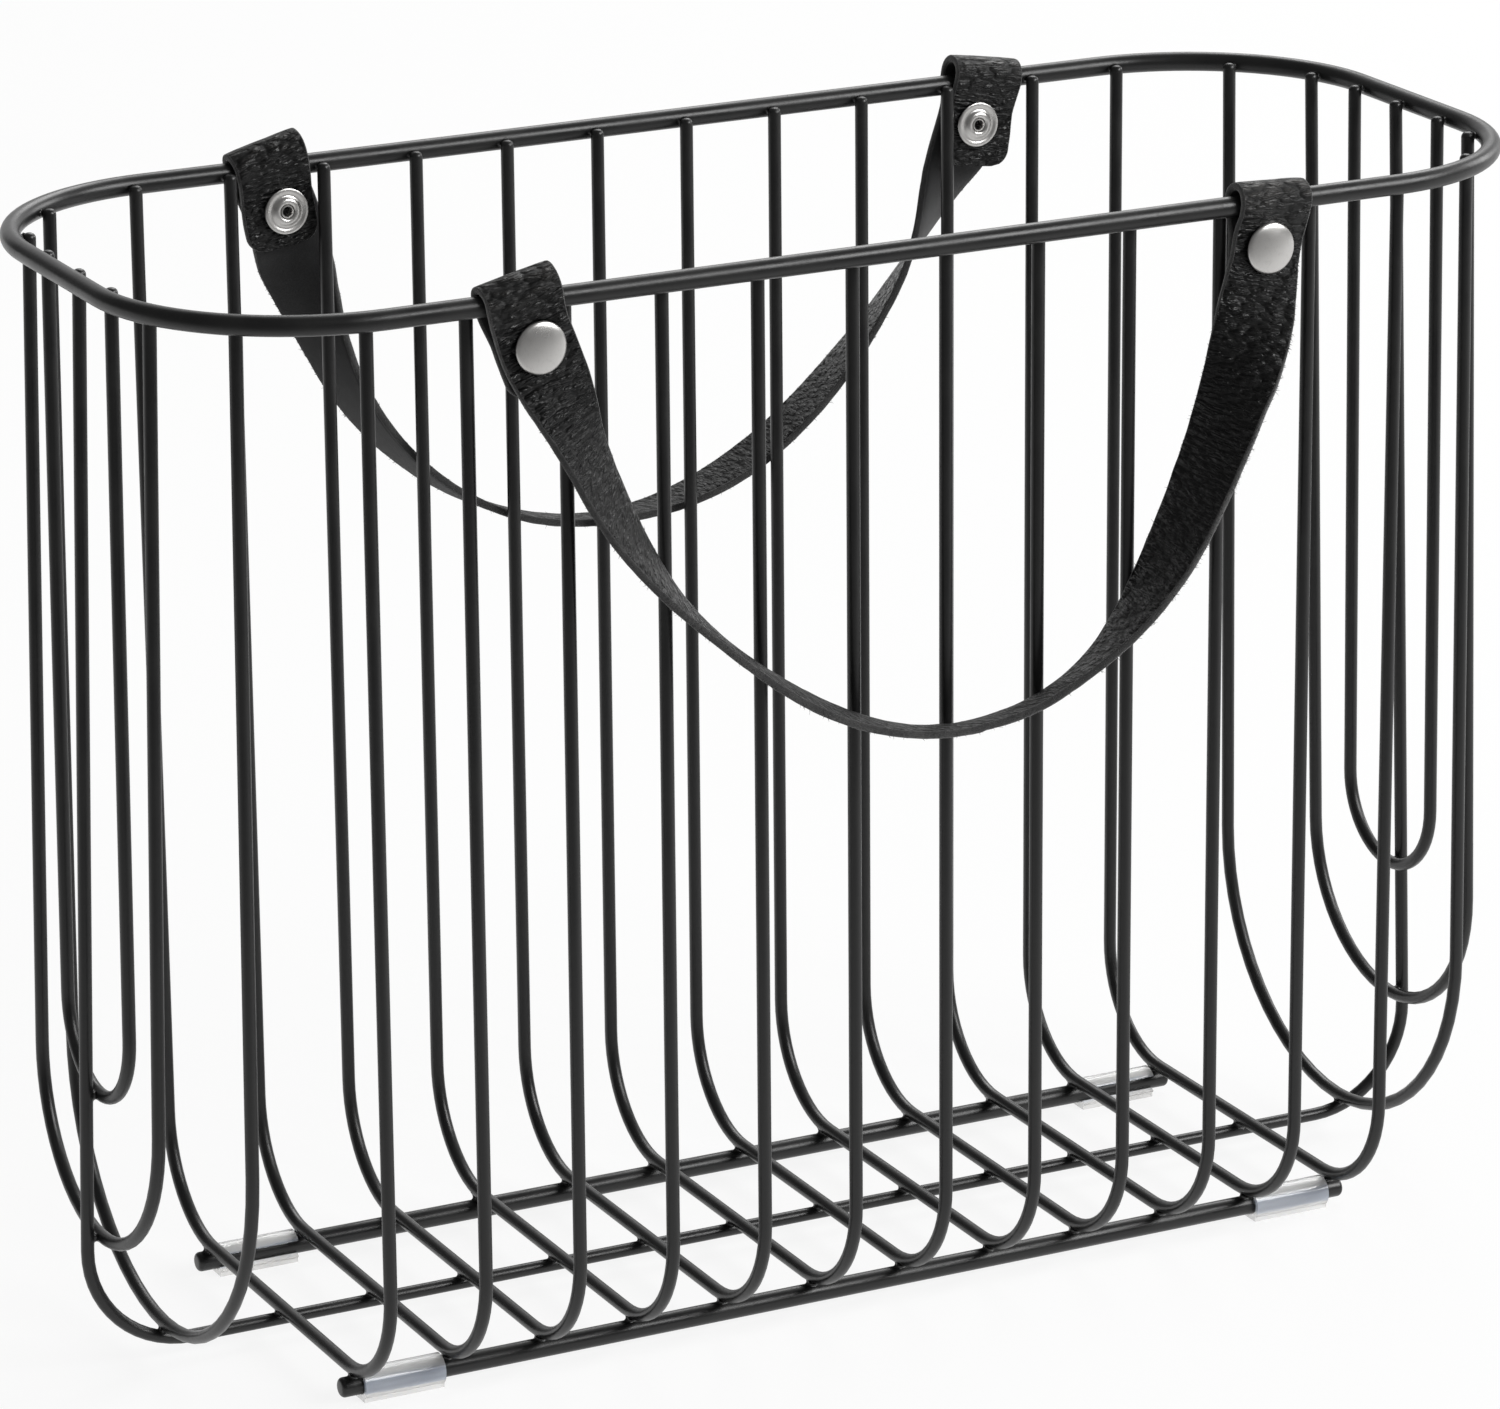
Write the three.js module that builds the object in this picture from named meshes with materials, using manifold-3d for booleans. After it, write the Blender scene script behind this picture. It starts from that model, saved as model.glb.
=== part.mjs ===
// Magazine basket in wire: a round rim, eighteen hoops and a keel, two straight base rails
// with clear clips for feet, and two leather strap handles riveted round the rim.
// Millimetres, +Z up. X runs along the basket and Y across it. The origin lies under the
// middle of the basket, on the surface that it stands on.
import * as THREE from "three";
import { mergeVertices } from "three/addons/utils/BufferGeometryUtils.js";
import Module from "manifold-3d";

// Basket, over its wires
const basketLength = 371;
const basketWidth = 152;
const basketHeight = 277.7;

// Wires: diameters, bends to the middle of the wire, and what a weld leaves between two wires
const rimWire = 5;
const hoopWire = 3.3;
const railWire = 5;
const weldGap = 0.3;
const rimCornerRadius = 50;
const hoopBendRadius = 27.2;
const keelBendRadius = 26.4;
const keelBulge = 7.5;

// Hoops: the main ones stand in a row, which stops short of the rim's ends, and the three at
// each end close the rim's corners. The shares are of the main hoops' width, from the
// outermost hoop inwards, and the lifts are how far each of those stays above the floor.
const rowInset = 49;
const mainHoopCount = 12;
const hoopTopDrop = 1;
const endHoopWidthShares = [0.287, 0.545, 0.831];
const endHoopLifts = [63.5, 27, 1.1];

// Base rails, just past where the hoops start to bend, and the clear clips pressed on them
// between the last two hoops
const railPastFlat = 3;
const railOverhang = 3.5;
const railEndChamfer = 0.7;
const clipWall = 1.1;
const clipSole = 1.2;
const clipSoleWidth = 5.2;
const clipFit = 0.3;
const clipSlitAngle = 66;

// Leather straps, each riveted in the second bay from either end of the row of main hoops,
// a little to the inner side of the bay's middle
const strapWidth = 19;
const strapThickness = 2;
const strapLayerGap = 0.6;
const strapFit = 0.35;
const strapSlant = 14;
const strapTail = 24;
const strapHoopGap = 0.5;
const rivetBay = 2;
const rivetShift = 2.8;
const rivetDrop = 10.6;

// How each strap hangs: its drop below the rim, how far its low point lies from the middle,
// how strongly its ends and its low point pull the curve, and its twist at the low point
const frontHang = { drop: 117.8, shift: 12.6, endPull: 62, lowPull: 37, twist: 111, twistPower: 0.56 };
const backHang = { drop: 105.5, shift: -5, endPull: 64, lowPull: 35, twist: 93, twistPower: 0.4 };

// Rivets: a domed cap with a hollow post outside, and a rolled ring inside
const capDiameter = 12.8;
const capHeight = 2.1;
const capRimHeight = 0.6;
const ringDiameter = 11.6;
const ringHeight = 0.7;
const ringRollHeight = 1.3;
const ringRollDiameter = 6.4;
const postDiameter = 3.4;
const postBore = 1.8;
const postBoreFloor = 0.8;
const rivetFit = 0.25;

// Facets, and the run of a cut past the face that it opens
const wireSides = 10;
const rimSides = 12;
const bendSteps = 6;
const roundBendSteps = 8;
const rimBendSteps = 10;
const roundSides = 20;
const clipSteps = 14;
const foldSteps = 8;
const domeSteps = 5;
const hangSteps = 22;
const overrun = 1;

// Places that follow from those sizes
const rimRadius = rimWire / 2;
const hoopRadius = hoopWire / 2;
const railRadius = railWire / 2;
const rimHeight = basketHeight - rimRadius;
const rimHalfLength = basketLength / 2 - rimRadius;
const rimHalfWidth = basketWidth / 2 - rimRadius;
const hoopInset = rimRadius + weldGap + hoopRadius;
const hoopTop = basketHeight - hoopTopDrop;
const hoopHalfWidth = rimHalfWidth - hoopInset;
const railHeight = clipSole + clipFit + railRadius;
const hoopFloor = railHeight + railRadius + weldGap + hoopRadius;
const keelInset = hoopRadius + weldGap + hoopRadius;
const keelHeight = hoopFloor - keelInset;
const keelTop = rimHalfLength - hoopInset;
const keelSide = keelTop + keelBulge;
const lastMainHoop = basketLength / 2 - rowInset;
const hoopPitch = (2 * lastMainHoop) / (mainHoopCount - 1);
const railPlace = hoopHalfWidth - hoopBendRadius + railPastFlat;
const hoopFront = hoopHalfWidth + hoopRadius;

const wireMaterial = new THREE.MeshStandardMaterial({ color: 0x1b1b1c, roughness: 0.38, metalness: 0.6 });
const clipMaterial = new THREE.MeshStandardMaterial({ color: 0xcdd2da, roughness: 0.2, metalness: 0 });
const leatherMaterial = new THREE.MeshStandardMaterial({ color: 0x1c1c1d, roughness: 0.7, metalness: 0 });
const rivetMaterial = new THREE.MeshStandardMaterial({ color: 0xc9c7c4, roughness: 0.3, metalness: 1 });

const wasm = await Module();
wasm.setup();

const basket = new THREE.Group();

function addPiece(name, geometry, material) {
  const mesh = new THREE.Mesh(geometry, material);
  mesh.name = name;
  basket.add(mesh);
  return mesh;
}

// A path through fixed stations, with frames of its own where a ribbon needs them.
// Its steps fall on the stations, so straight runs stay one step long.
class StationPath extends THREE.Curve {
  constructor(stations, frames = null) {
    super();
    this.stations = stations;
    this.frames = frames;
  }
  getUtoTmapping(u) {
    return u;
  }
  getPoint(t, target = new THREE.Vector3()) {
    const place = t * (this.stations.length - 1);
    const before = Math.min(Math.floor(place), this.stations.length - 2);
    return target.lerpVectors(this.stations[before], this.stations[before + 1], place - before);
  }
  getTangent(t, target = new THREE.Vector3()) {
    const last = this.stations.length - 1;
    const here = Math.round(t * last);
    const closed = this.stations[0].distanceTo(this.stations[last]) < weldGap;
    const before = here > 0 ? here - 1 : closed ? last - 1 : 0;
    const after = here < last ? here + 1 : closed ? 1 : last;
    const middle = this.stations[here];
    const comingIn = middle.clone().sub(this.stations[before]).normalize();
    const goingOut = this.stations[after].clone().sub(middle).normalize();
    return target.copy(comingIn).add(goingOut).normalize();
  }
  computeFrenetFrames(segments, closed) {
    return this.frames ?? super.computeFrenetFrames(segments, closed);
  }
}

// The arc that rounds the corner between two straight runs, as points
function roundedCorner(before, corner, after, radius, steps) {
  const back = before.clone().sub(corner).normalize();
  const ahead = after.clone().sub(corner).normalize();
  const half = back.angleTo(ahead) / 2;
  const reach = radius / Math.tan(half);
  const centre = back.clone().add(ahead).normalize().multiplyScalar(radius / Math.sin(half)).add(corner);
  const from = back.clone().multiplyScalar(reach).add(corner).sub(centre);
  const to = ahead.clone().multiplyScalar(reach).add(corner).sub(centre);
  const sweep = Math.PI - 2 * half;
  const points = [];
  for (let step = 0; step <= steps; step += 1) {
    const share = step / steps;
    const point = from.clone().multiplyScalar(Math.sin((1 - share) * sweep));
    point.addScaledVector(to, Math.sin(share * sweep)).divideScalar(Math.sin(sweep)).add(centre);
    points.push(point);
  }
  return points;
}

// Stations of a wire bent at each of its inner corners
function bentWire(corners, radius, steps) {
  const stations = [corners[0]];
  for (let index = 1; index < corners.length - 1; index += 1) {
    const bend = roundedCorner(corners[index - 1], corners[index], corners[index + 1], radius, steps);
    const apart = bend[0].distanceTo(stations[stations.length - 1]) > weldGap;
    stations.push(...(apart ? bend : bend.slice(1)));
  }
  stations.push(corners[corners.length - 1]);
  return stations;
}

function circleShape(radius, sides) {
  const points = [];
  for (let side = 0; side < sides; side += 1) {
    const angle = ((side + 0.5) / sides) * 2 * Math.PI;
    points.push(new THREE.Vector2(radius * Math.cos(angle), radius * Math.sin(angle)));
  }
  return new THREE.Shape(points);
}

function wireGeometry(stations, radius) {
  const path = new StationPath(stations);
  const options = { extrudePath: path, steps: stations.length - 1 };
  return new THREE.ExtrudeGeometry(circleShape(radius, wireSides), options);
}

function toSolid(geometry) {
  const bare = geometry.clone();
  bare.deleteAttribute("normal");
  bare.deleteAttribute("uv");
  const merged = mergeVertices(bare);
  const vertProperties = new Float32Array(merged.attributes.position.array);
  const triVerts = new Uint32Array(merged.index.array);
  return new wasm.Manifold(new wasm.Mesh({ numProp: 3, vertProperties, triVerts }));
}

function fromSolid(solid) {
  const mesh = solid.getMesh();
  const geometry = new THREE.BufferGeometry();
  geometry.setAttribute("position", new THREE.BufferAttribute(new Float32Array(mesh.vertProperties), 3));
  geometry.setIndex(new THREE.BufferAttribute(new Uint32Array(mesh.triVerts), 1));
  geometry.computeVertexNormals();
  return geometry;
}

// Rim: one closed loop of the thick wire, with long straight sides and large round corners
function addRim() {
  const corners = [
    new THREE.Vector3(rimHalfLength, -rimHalfWidth, rimHeight),
    new THREE.Vector3(rimHalfLength, rimHalfWidth, rimHeight),
    new THREE.Vector3(-rimHalfLength, rimHalfWidth, rimHeight),
    new THREE.Vector3(-rimHalfLength, -rimHalfWidth, rimHeight),
  ];
  const stations = [];
  corners.forEach((corner, index) => {
    const before = corners[(index + corners.length - 1) % corners.length];
    const after = corners[(index + 1) % corners.length];
    stations.push(...roundedCorner(before, corner, after, rimCornerRadius, rimBendSteps));
  });
  stations.push(stations[0].clone());
  const path = new StationPath(stations);
  addPiece("rim", new THREE.TubeGeometry(path, stations.length - 1, rimRadius, rimSides, true), wireMaterial);
}

// Where a hoop of a given half width meets the inside of the rim, along X
function insideRim(halfWidth) {
  const cornerRadius = rimCornerRadius - hoopInset;
  const past = Math.max(0, halfWidth - (rimHalfWidth - rimCornerRadius));
  return rimHalfLength - rimCornerRadius + Math.sqrt(cornerRadius ** 2 - past ** 2);
}

// Where the inside of the keel lies at a height, along X: on its bend, or on its leaning side
function insideKeel(height) {
  const bendHeight = keelHeight + keelBendRadius;
  if (height < bendHeight) {
    const reach = keelBendRadius - keelInset;
    return keelSide - keelBendRadius + Math.sqrt(reach ** 2 - (bendHeight - height) ** 2);
  }
  const rise = (height - bendHeight) / (hoopTop - bendHeight);
  return keelSide - keelInset - keelBulge * rise;
}

function hoopCorners(topPlace, floorPlace, halfWidth, floor) {
  return [
    new THREE.Vector3(topPlace, -halfWidth, hoopTop),
    new THREE.Vector3(floorPlace, -halfWidth, floor),
    new THREE.Vector3(floorPlace, halfWidth, floor),
    new THREE.Vector3(topPlace, halfWidth, hoopTop),
  ];
}

// Hoops are numbered from the left end. The end hoops have wholly round bottoms, which
// rest inside the keel where it rises.
function addHoops() {
  const endCount = endHoopLifts.length;
  const total = mainHoopCount + 2 * endCount;
  for (let number = 1; number <= total; number += 1) {
    const name = `hoop_${String(number).padStart(2, "0")}`;
    const fromEnd = Math.min(number, total + 1 - number) - 1;
    const side = number <= total / 2 ? -1 : 1;
    let stations;
    if (fromEnd < endCount) {
      const halfWidth = hoopHalfWidth * endHoopWidthShares[fromEnd];
      const floor = hoopFloor + endHoopLifts[fromEnd];
      const corners = hoopCorners(side * insideRim(halfWidth), side * insideKeel(floor), halfWidth, floor);
      stations = bentWire(corners, halfWidth, roundBendSteps);
    } else {
      const place = hoopPitch * (number - endCount - 1) - lastMainHoop;
      const corners = hoopCorners(place, place, hoopHalfWidth, hoopFloor);
      stations = bentWire(corners, hoopBendRadius, bendSteps);
    }
    addPiece(name, wireGeometry(stations, hoopRadius), wireMaterial);
  }
}

// Keel: a lengthwise wire under the hoops, up both ends to the inside of the rim
function addKeel() {
  const bendHeight = keelHeight + keelBendRadius;
  const lean = keelBulge / (hoopTop - bendHeight);
  const low = keelSide + lean * keelBendRadius;
  const corners = [
    new THREE.Vector3(-keelTop, 0, hoopTop),
    new THREE.Vector3(-low, 0, keelHeight),
    new THREE.Vector3(low, 0, keelHeight),
    new THREE.Vector3(keelTop, 0, hoopTop),
  ];
  addPiece("keel", wireGeometry(bentWire(corners, keelBendRadius, bendSteps), hoopRadius), wireMaterial);
}

// Base rails: straight, chamfered at the ends
function addRails() {
  const halfLength = lastMainHoop + railOverhang;
  const profile = [
    new THREE.Vector2(0, -halfLength),
    new THREE.Vector2(railRadius - railEndChamfer, -halfLength),
    new THREE.Vector2(railRadius, railEndChamfer - halfLength),
    new THREE.Vector2(railRadius, halfLength - railEndChamfer),
    new THREE.Vector2(railRadius - railEndChamfer, halfLength),
    new THREE.Vector2(0, halfLength),
  ];
  for (const [name, side] of [["rail_front", -1], ["rail_back", 1]]) {
    const rail = addPiece(name, new THREE.LatheGeometry(profile, wireSides), wireMaterial);
    rail.rotation.z = -Math.PI / 2;
    rail.position.set(0, side * railPlace, railHeight);
  }
}

// Points along an arc round the middle of a section
function arcPoints(radius, from, to, steps) {
  const points = [];
  for (let step = 0; step <= steps; step += 1) {
    const angle = from + (step / steps) * (to - from);
    points.push(new THREE.Vector2(radius * Math.cos(angle), radius * Math.sin(angle)));
  }
  return points;
}

// Clips: a springy tube slit on the side that faces the middle, on a flat sole
function clipShape() {
  const outer = railRadius + clipFit + clipWall;
  const inner = railRadius + clipFit;
  const slit = THREE.MathUtils.degToRad(clipSlitAngle / 2);
  const sole = Math.acos(clipSoleWidth / 2 / outer);
  return new THREE.Shape([
    ...arcPoints(outer, slit, Math.PI + sole, clipSteps),
    new THREE.Vector2(-clipSoleWidth / 2, -railHeight),
    new THREE.Vector2(clipSoleWidth / 2, -railHeight),
    ...arcPoints(outer, -sole, -slit, 1),
    ...arcPoints(inner, -slit, slit - 2 * Math.PI, clipSteps),
  ]);
}

function addClips() {
  const length = hoopPitch - hoopWire - 2 * weldGap;
  const options = { depth: length, bevelEnabled: false };
  for (const [row, side] of [["front", -1], ["back", 1]]) {
    for (const [end, along] of [["left", -1], ["right", 1]]) {
      const geometry = new THREE.ExtrudeGeometry(clipShape(), options);
      geometry.translate(0, 0, -length / 2);
      const clip = addPiece(`clip_${row}_${end}`, geometry, clipMaterial);
      const towardMiddle = new THREE.Vector3(0, -side, 0);
      const up = new THREE.Vector3(0, 0, 1);
      const alongRail = towardMiddle.clone().cross(up);
      clip.quaternion.setFromRotationMatrix(new THREE.Matrix4().makeBasis(towardMiddle, up, alongRail));
      clip.position.set(along * (lastMainHoop - hoopPitch / 2), side * railPlace, railHeight);
    }
  }
}

// Straps are laid out in a strap's own directions: down its slant, out from the basket and
// across its width. Distances down are from the middle of the fold that goes over the rim.
const slant = THREE.MathUtils.degToRad(strapSlant);
const foldRadius = rimRadius + strapFit + strapThickness / 2;
const layerPlace = (strapLayerGap + strapThickness) / 2;
const rimPlace = (strapWidth / 2) * Math.tan(slant);
const shoulderPlace = 2 * rimPlace + (rimRadius - layerPlace);
const clampPlace = shoulderPlace + foldRadius;
const rivetReach = lastMainHoop - rivetBay * hoopPitch + hoopPitch / 2 - rivetShift;
const rivetPlace = rimPlace + rivetDrop / Math.cos(slant);
const freePlace = rivetPlace + capDiameter / 2;
const tailPlace = rimPlace + strapTail / Math.cos(slant);
const capSeat = layerPlace + strapThickness / 2 + 2 * rivetFit;
const standOff = rimHalfWidth + layerPlace - hoopFront - strapHoopGap;

function downSlant(end) {
  return new THREE.Vector3(-end * Math.sin(slant), 0, -Math.cos(slant));
}

// A point of a strap's end, at a distance down from its fold and out from the rim's axis
function endPoint(side, end, down, out) {
  const rivet = new THREE.Vector3(end * rivetReach, side * rimHalfWidth, rimHeight - rivetDrop);
  rivet.addScaledVector(downSlant(end), down - rivetPlace);
  rivet.y += side * out;
  return rivet;
}

// From the tail's tip up the inner layer, over the rim and down the outer layer
function endLoop(side, end) {
  const places = [[tailPlace, -layerPlace], [clampPlace, -layerPlace], [shoulderPlace, -foldRadius]];
  for (let step = 0; step <= foldSteps; step += 1) {
    const angle = (step / foldSteps) * Math.PI;
    places.push([-foldRadius * Math.sin(angle), -foldRadius * Math.cos(angle)]);
  }
  places.push([shoulderPlace, foldRadius], [clampPlace, layerPlace]);
  const across = new THREE.Vector3(-end * Math.cos(slant), 0, Math.sin(slant));
  return places.map(([down, out]) => ({ point: endPoint(side, end, down, out), across }));
}

// The width of a twisted ribbon: across its path and upward, turned in toward the basket
function twistedAcross(side, tangent, twist) {
  const upward = tangent.clone().cross(new THREE.Vector3(0, 1, 0)).normalize();
  const inward = upward.clone().cross(tangent).multiplyScalar(-side);
  return upward.multiplyScalar(Math.cos(twist)).addScaledVector(inward, Math.sin(twist));
}

// The free stretch hangs in two curves that meet at its low point. Its twist grows from
// nothing at the rivets, and turns its upper edge in toward the basket.
function hangingStretch(side, hang) {
  const ends = [-1, 1].map((end) => endPoint(side, end, freePlace, 0));
  const pulls = [-1, 1].map((end) => endPoint(side, end, freePlace + hang.endPull, 0));
  const lowHeight = rimHeight - hang.drop;
  const flat = (point) => new THREE.Vector2(point.x, point.z);
  const low = (pull) => new THREE.Vector2(hang.shift + pull, lowHeight);
  const halves = [
    new THREE.CubicBezierCurve(flat(ends[0]), flat(pulls[0]), low(-hang.lowPull), low(0)),
    new THREE.CubicBezierCurve(low(0), low(hang.lowPull), flat(pulls[1]), flat(ends[1])),
  ];
  const stations = [];
  halves.forEach((half, index) => {
    for (let step = index; step <= hangSteps; step += 1) {
      const along = step / hangSteps;
      const free = index === 0 ? along : 1 - along;
      const turned = THREE.MathUtils.smoothstep(free ** hang.twistPower, 0, 1);
      const twist = THREE.MathUtils.degToRad(hang.twist) * turned;
      const reach = (strapWidth / 2) * Math.sin(twist) + standOff * Math.max(0, Math.cos(twist));
      const place = half.getPointAt(along);
      const out = hoopFront + strapHoopGap + reach;
      const tangent = half.getTangentAt(along);
      const across = twistedAcross(side, new THREE.Vector3(tangent.x, 0, tangent.y), twist);
      stations.push({ point: new THREE.Vector3(place.x, side * out, place.y), across });
    }
  });
  return stations;
}

function strapRibbon(side, hang) {
  const stations = [...endLoop(side, -1), ...hangingStretch(side, hang), ...endLoop(side, 1).reverse()];
  const path = new StationPath(stations.map((station) => station.point));
  const steps = stations.length - 1;
  path.frames = { tangents: [], normals: [], binormals: [] };
  stations.forEach(({ across }, index) => {
    const tangent = path.getTangent(index / steps);
    const normal = across.clone().addScaledVector(tangent, -across.dot(tangent)).normalize();
    path.frames.tangents.push(tangent);
    path.frames.normals.push(normal);
    path.frames.binormals.push(tangent.clone().cross(normal));
  });
  const section = new THREE.Shape([
    new THREE.Vector2(-strapWidth / 2, -strapThickness / 2),
    new THREE.Vector2(strapWidth / 2, -strapThickness / 2),
    new THREE.Vector2(strapWidth / 2, strapThickness / 2),
    new THREE.Vector2(-strapWidth / 2, strapThickness / 2),
  ]);
  return toSolid(new THREE.ExtrudeGeometry(section, { extrudePath: path, steps }));
}

// A round cutter across the strap's end, from one place out of the rim's axis to another
function roundCutter(side, end, diameter, from, to) {
  const cutter = new THREE.CylinderGeometry(diameter / 2, diameter / 2, to - from, roundSides);
  const middle = endPoint(side, end, rivetPlace, (from + to) / 2);
  cutter.translate(middle.x, middle.y, middle.z);
  return toSolid(cutter);
}

// Straps: holed for the rivets, and pressed in where a cap or a ring bears on them
function addStrap(name, side, hang) {
  const faceOut = layerPlace + strapThickness / 2 + rivetFit;
  const past = foldRadius + strapThickness + overrun;
  let strap = strapRibbon(side, hang);
  for (const end of [-1, 1]) {
    strap = strap.subtract(roundCutter(side, end, postDiameter + 2 * rivetFit, -past, past));
    strap = strap.subtract(roundCutter(side, end, capDiameter + 2 * rivetFit, faceOut, past));
    strap = strap.subtract(roundCutter(side, end, ringDiameter + 2 * rivetFit, -past, -faceOut));
  }
  addPiece(name, fromSolid(strap), leatherMaterial);
}

// Rivet caps: a pillow dome over a hollow post that runs through both layers of the strap
function capProfile() {
  const postLength = 2 * capSeat + ringRollHeight - rivetFit;
  const profile = [
    new THREE.Vector2(0, -postBoreFloor),
    new THREE.Vector2(postBore / 2, -postBoreFloor),
    new THREE.Vector2(postBore / 2, -postLength),
    new THREE.Vector2(postDiameter / 2, -postLength),
    new THREE.Vector2(postDiameter / 2, 0),
    new THREE.Vector2(capDiameter / 2 - capRimHeight, 0),
  ];
  for (let step = 0; step <= domeSteps; step += 1) {
    const angle = ((step / domeSteps) * Math.PI) / 2;
    const rise = capRimHeight + (capHeight - capRimHeight) * Math.sin(angle);
    profile.push(new THREE.Vector2((capDiameter / 2) * Math.cos(angle), rise));
  }
  profile[profile.length - 1].x = 0;
  return profile;
}

// Rivet rings: a flat flange with a rolled collar, which the post comes up inside
function ringProfile() {
  const hole = postDiameter / 2 + rivetFit;
  const rollInset = (ringRollHeight - ringHeight) / 2;
  return [
    new THREE.Vector2(hole, 0),
    new THREE.Vector2(ringDiameter / 2, 0),
    new THREE.Vector2(ringDiameter / 2, ringHeight),
    new THREE.Vector2(ringRollDiameter / 2, ringHeight),
    new THREE.Vector2(ringRollDiameter / 2 - rollInset, ringRollHeight),
    new THREE.Vector2(hole, ringRollHeight),
    new THREE.Vector2(hole, 0),
  ];
}

function addTurned(name, profile, turn, place) {
  const piece = addPiece(name, new THREE.LatheGeometry(profile, roundSides), rivetMaterial);
  piece.rotation.x = turn;
  piece.position.copy(place);
}

function addRivets(row, side) {
  const outward = side > 0 ? 0 : Math.PI;
  for (const [name, end] of [["left", -1], ["right", 1]]) {
    addTurned(`cap_${row}_${name}`, capProfile(), outward, endPoint(side, end, rivetPlace, capSeat));
    const ringPlace = endPoint(side, end, rivetPlace, -capSeat);
    addTurned(`ring_${row}_${name}`, ringProfile(), Math.PI - outward, ringPlace);
  }
}

addRim();
addHoops();
addKeel();
addRails();
addClips();
addStrap("strap_front", -1, frontHang);
addStrap("strap_back", 1, backHang);
addRivets("front", -1);
addRivets("back", 1);

export default basket;
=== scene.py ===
import itertools
import math
import random

import bmesh
import bpy
from mathutils import Matrix, Vector, noise


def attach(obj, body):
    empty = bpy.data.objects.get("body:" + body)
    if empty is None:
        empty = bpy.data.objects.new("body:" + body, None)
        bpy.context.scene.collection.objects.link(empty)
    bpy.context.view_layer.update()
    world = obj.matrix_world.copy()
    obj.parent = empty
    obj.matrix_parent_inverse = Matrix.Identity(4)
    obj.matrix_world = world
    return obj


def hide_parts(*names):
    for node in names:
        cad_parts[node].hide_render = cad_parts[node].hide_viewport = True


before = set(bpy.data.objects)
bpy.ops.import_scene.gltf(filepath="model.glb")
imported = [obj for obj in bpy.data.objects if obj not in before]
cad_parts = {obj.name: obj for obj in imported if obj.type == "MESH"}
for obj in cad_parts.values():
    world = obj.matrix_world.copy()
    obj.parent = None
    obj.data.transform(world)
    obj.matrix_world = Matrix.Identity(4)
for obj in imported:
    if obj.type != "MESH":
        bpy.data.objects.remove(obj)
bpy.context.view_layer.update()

mm = 0.001
x, y, z = Vector((1, 0, 0)), Vector((0, 1, 0)), Vector((0, 0, 1))

# Camera: long lens, a little above the basket and to its left
view = {
    "lens": 171.42, "sensor": 36, "turn": -26.551, "rise": 17.869, "roll": -0.504,
    "place": Vector((-758.66, -1506.95, 686.61)) * mm, "farClip": 100,
}


def addCamera():
    turn, rise, roll = (math.radians(view[key]) for key in ("turn", "rise", "roll"))
    back = Vector((math.sin(turn) * math.cos(rise), -math.cos(turn) * math.cos(rise), math.sin(rise)))
    level = (-back).cross(z).normalized()
    upright = level.cross(-back)
    across = level * math.cos(roll) + upright * math.sin(roll)
    up = upright * math.cos(roll) - level * math.sin(roll)
    data = bpy.data.cameras.new("productCamera")
    data.sensor_fit, data.sensor_width, data.lens = "HORIZONTAL", view["sensor"], view["lens"]
    data.clip_end = view["farClip"]
    camera = bpy.data.objects.new("productCamera", data)
    camera.matrix_world = Matrix.Translation(view["place"]) @ Matrix((across, up, back)).transposed().to_4x4()
    bpy.context.scene.collection.objects.link(camera)
    bpy.context.scene.camera = camera


addCamera()
print("camera set")


# Helpers for node trees. What goes into a node is a plain value, or the socket of another node.
def addNode(tree, kind, inputs=None, **settings):
    node = tree.nodes.new(kind)
    for name, value in settings.items():
        setattr(node, name, value)
    for name, value in (inputs or {}).items():
        if isinstance(value, bpy.types.NodeSocket):
            tree.links.new(value, node.inputs[name])
        else:
            node.inputs[name].default_value = value
    return node


def calc(tree, operation, *values):
    return addNode(tree, "ShaderNodeMath", dict(enumerate(values)), operation=operation).outputs[0]


def calcVector(tree, operation, *values):
    return addNode(tree, "ShaderNodeVectorMath", dict(enumerate(values)), operation=operation).outputs[0]


def oneOver(tree, value):
    return calc(tree, "DIVIDE", 1.0, value)


def addScaled(tree, total, *pairs):
    # A value plus some masks, each taken times its amount
    for mask, amount in pairs:
        total = calc(tree, "MULTIPLY_ADD", mask, amount, total)
    return total


def strongest(tree, *pairs):
    # The largest of some masks, each taken times its amount
    largest = 0.0
    for mask, amount in pairs:
        largest = calc(tree, "MAXIMUM", largest, calc(tree, "MULTIPLY", mask, amount))
    return largest


def remap(tree, value, low, high, toLow=0.0, toHigh=1.0):
    inputs = {"Value": value, "From Min": low, "From Max": high, "To Min": toLow, "To Max": toHigh}
    return addNode(tree, "ShaderNodeMapRange", inputs, interpolation_type="SMOOTHSTEP").outputs[0]


def between(tree, mask, low, high=1.0):
    return remap(tree, mask, 0.0, 1.0, low, high)


def mixColour(tree, factor, first, second):
    inputs = {0: factor, 6: first, 7: second}
    return addNode(tree, "ShaderNodeMix", inputs, data_type="RGBA", blend_type="MIX").outputs[2]


def fineNoise(tree, vector, scale, detail=2.0, rough=0.5, distort=0.0):
    inputs = {"Vector": vector, "Scale": scale, "Detail": detail, "Roughness": rough, "Distortion": distort}
    return addNode(tree, "ShaderNodeTexNoise", inputs).outputs["Fac"]


def splitVector(tree, vector):
    return addNode(tree, "ShaderNodeSeparateXYZ", {0: vector}).outputs


def attribute(tree, name):
    return addNode(tree, "ShaderNodeAttribute", attribute_name=name).outputs


def objectPlace(tree):
    return addNode(tree, "ShaderNodeTexCoord").outputs["Object"]


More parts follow.
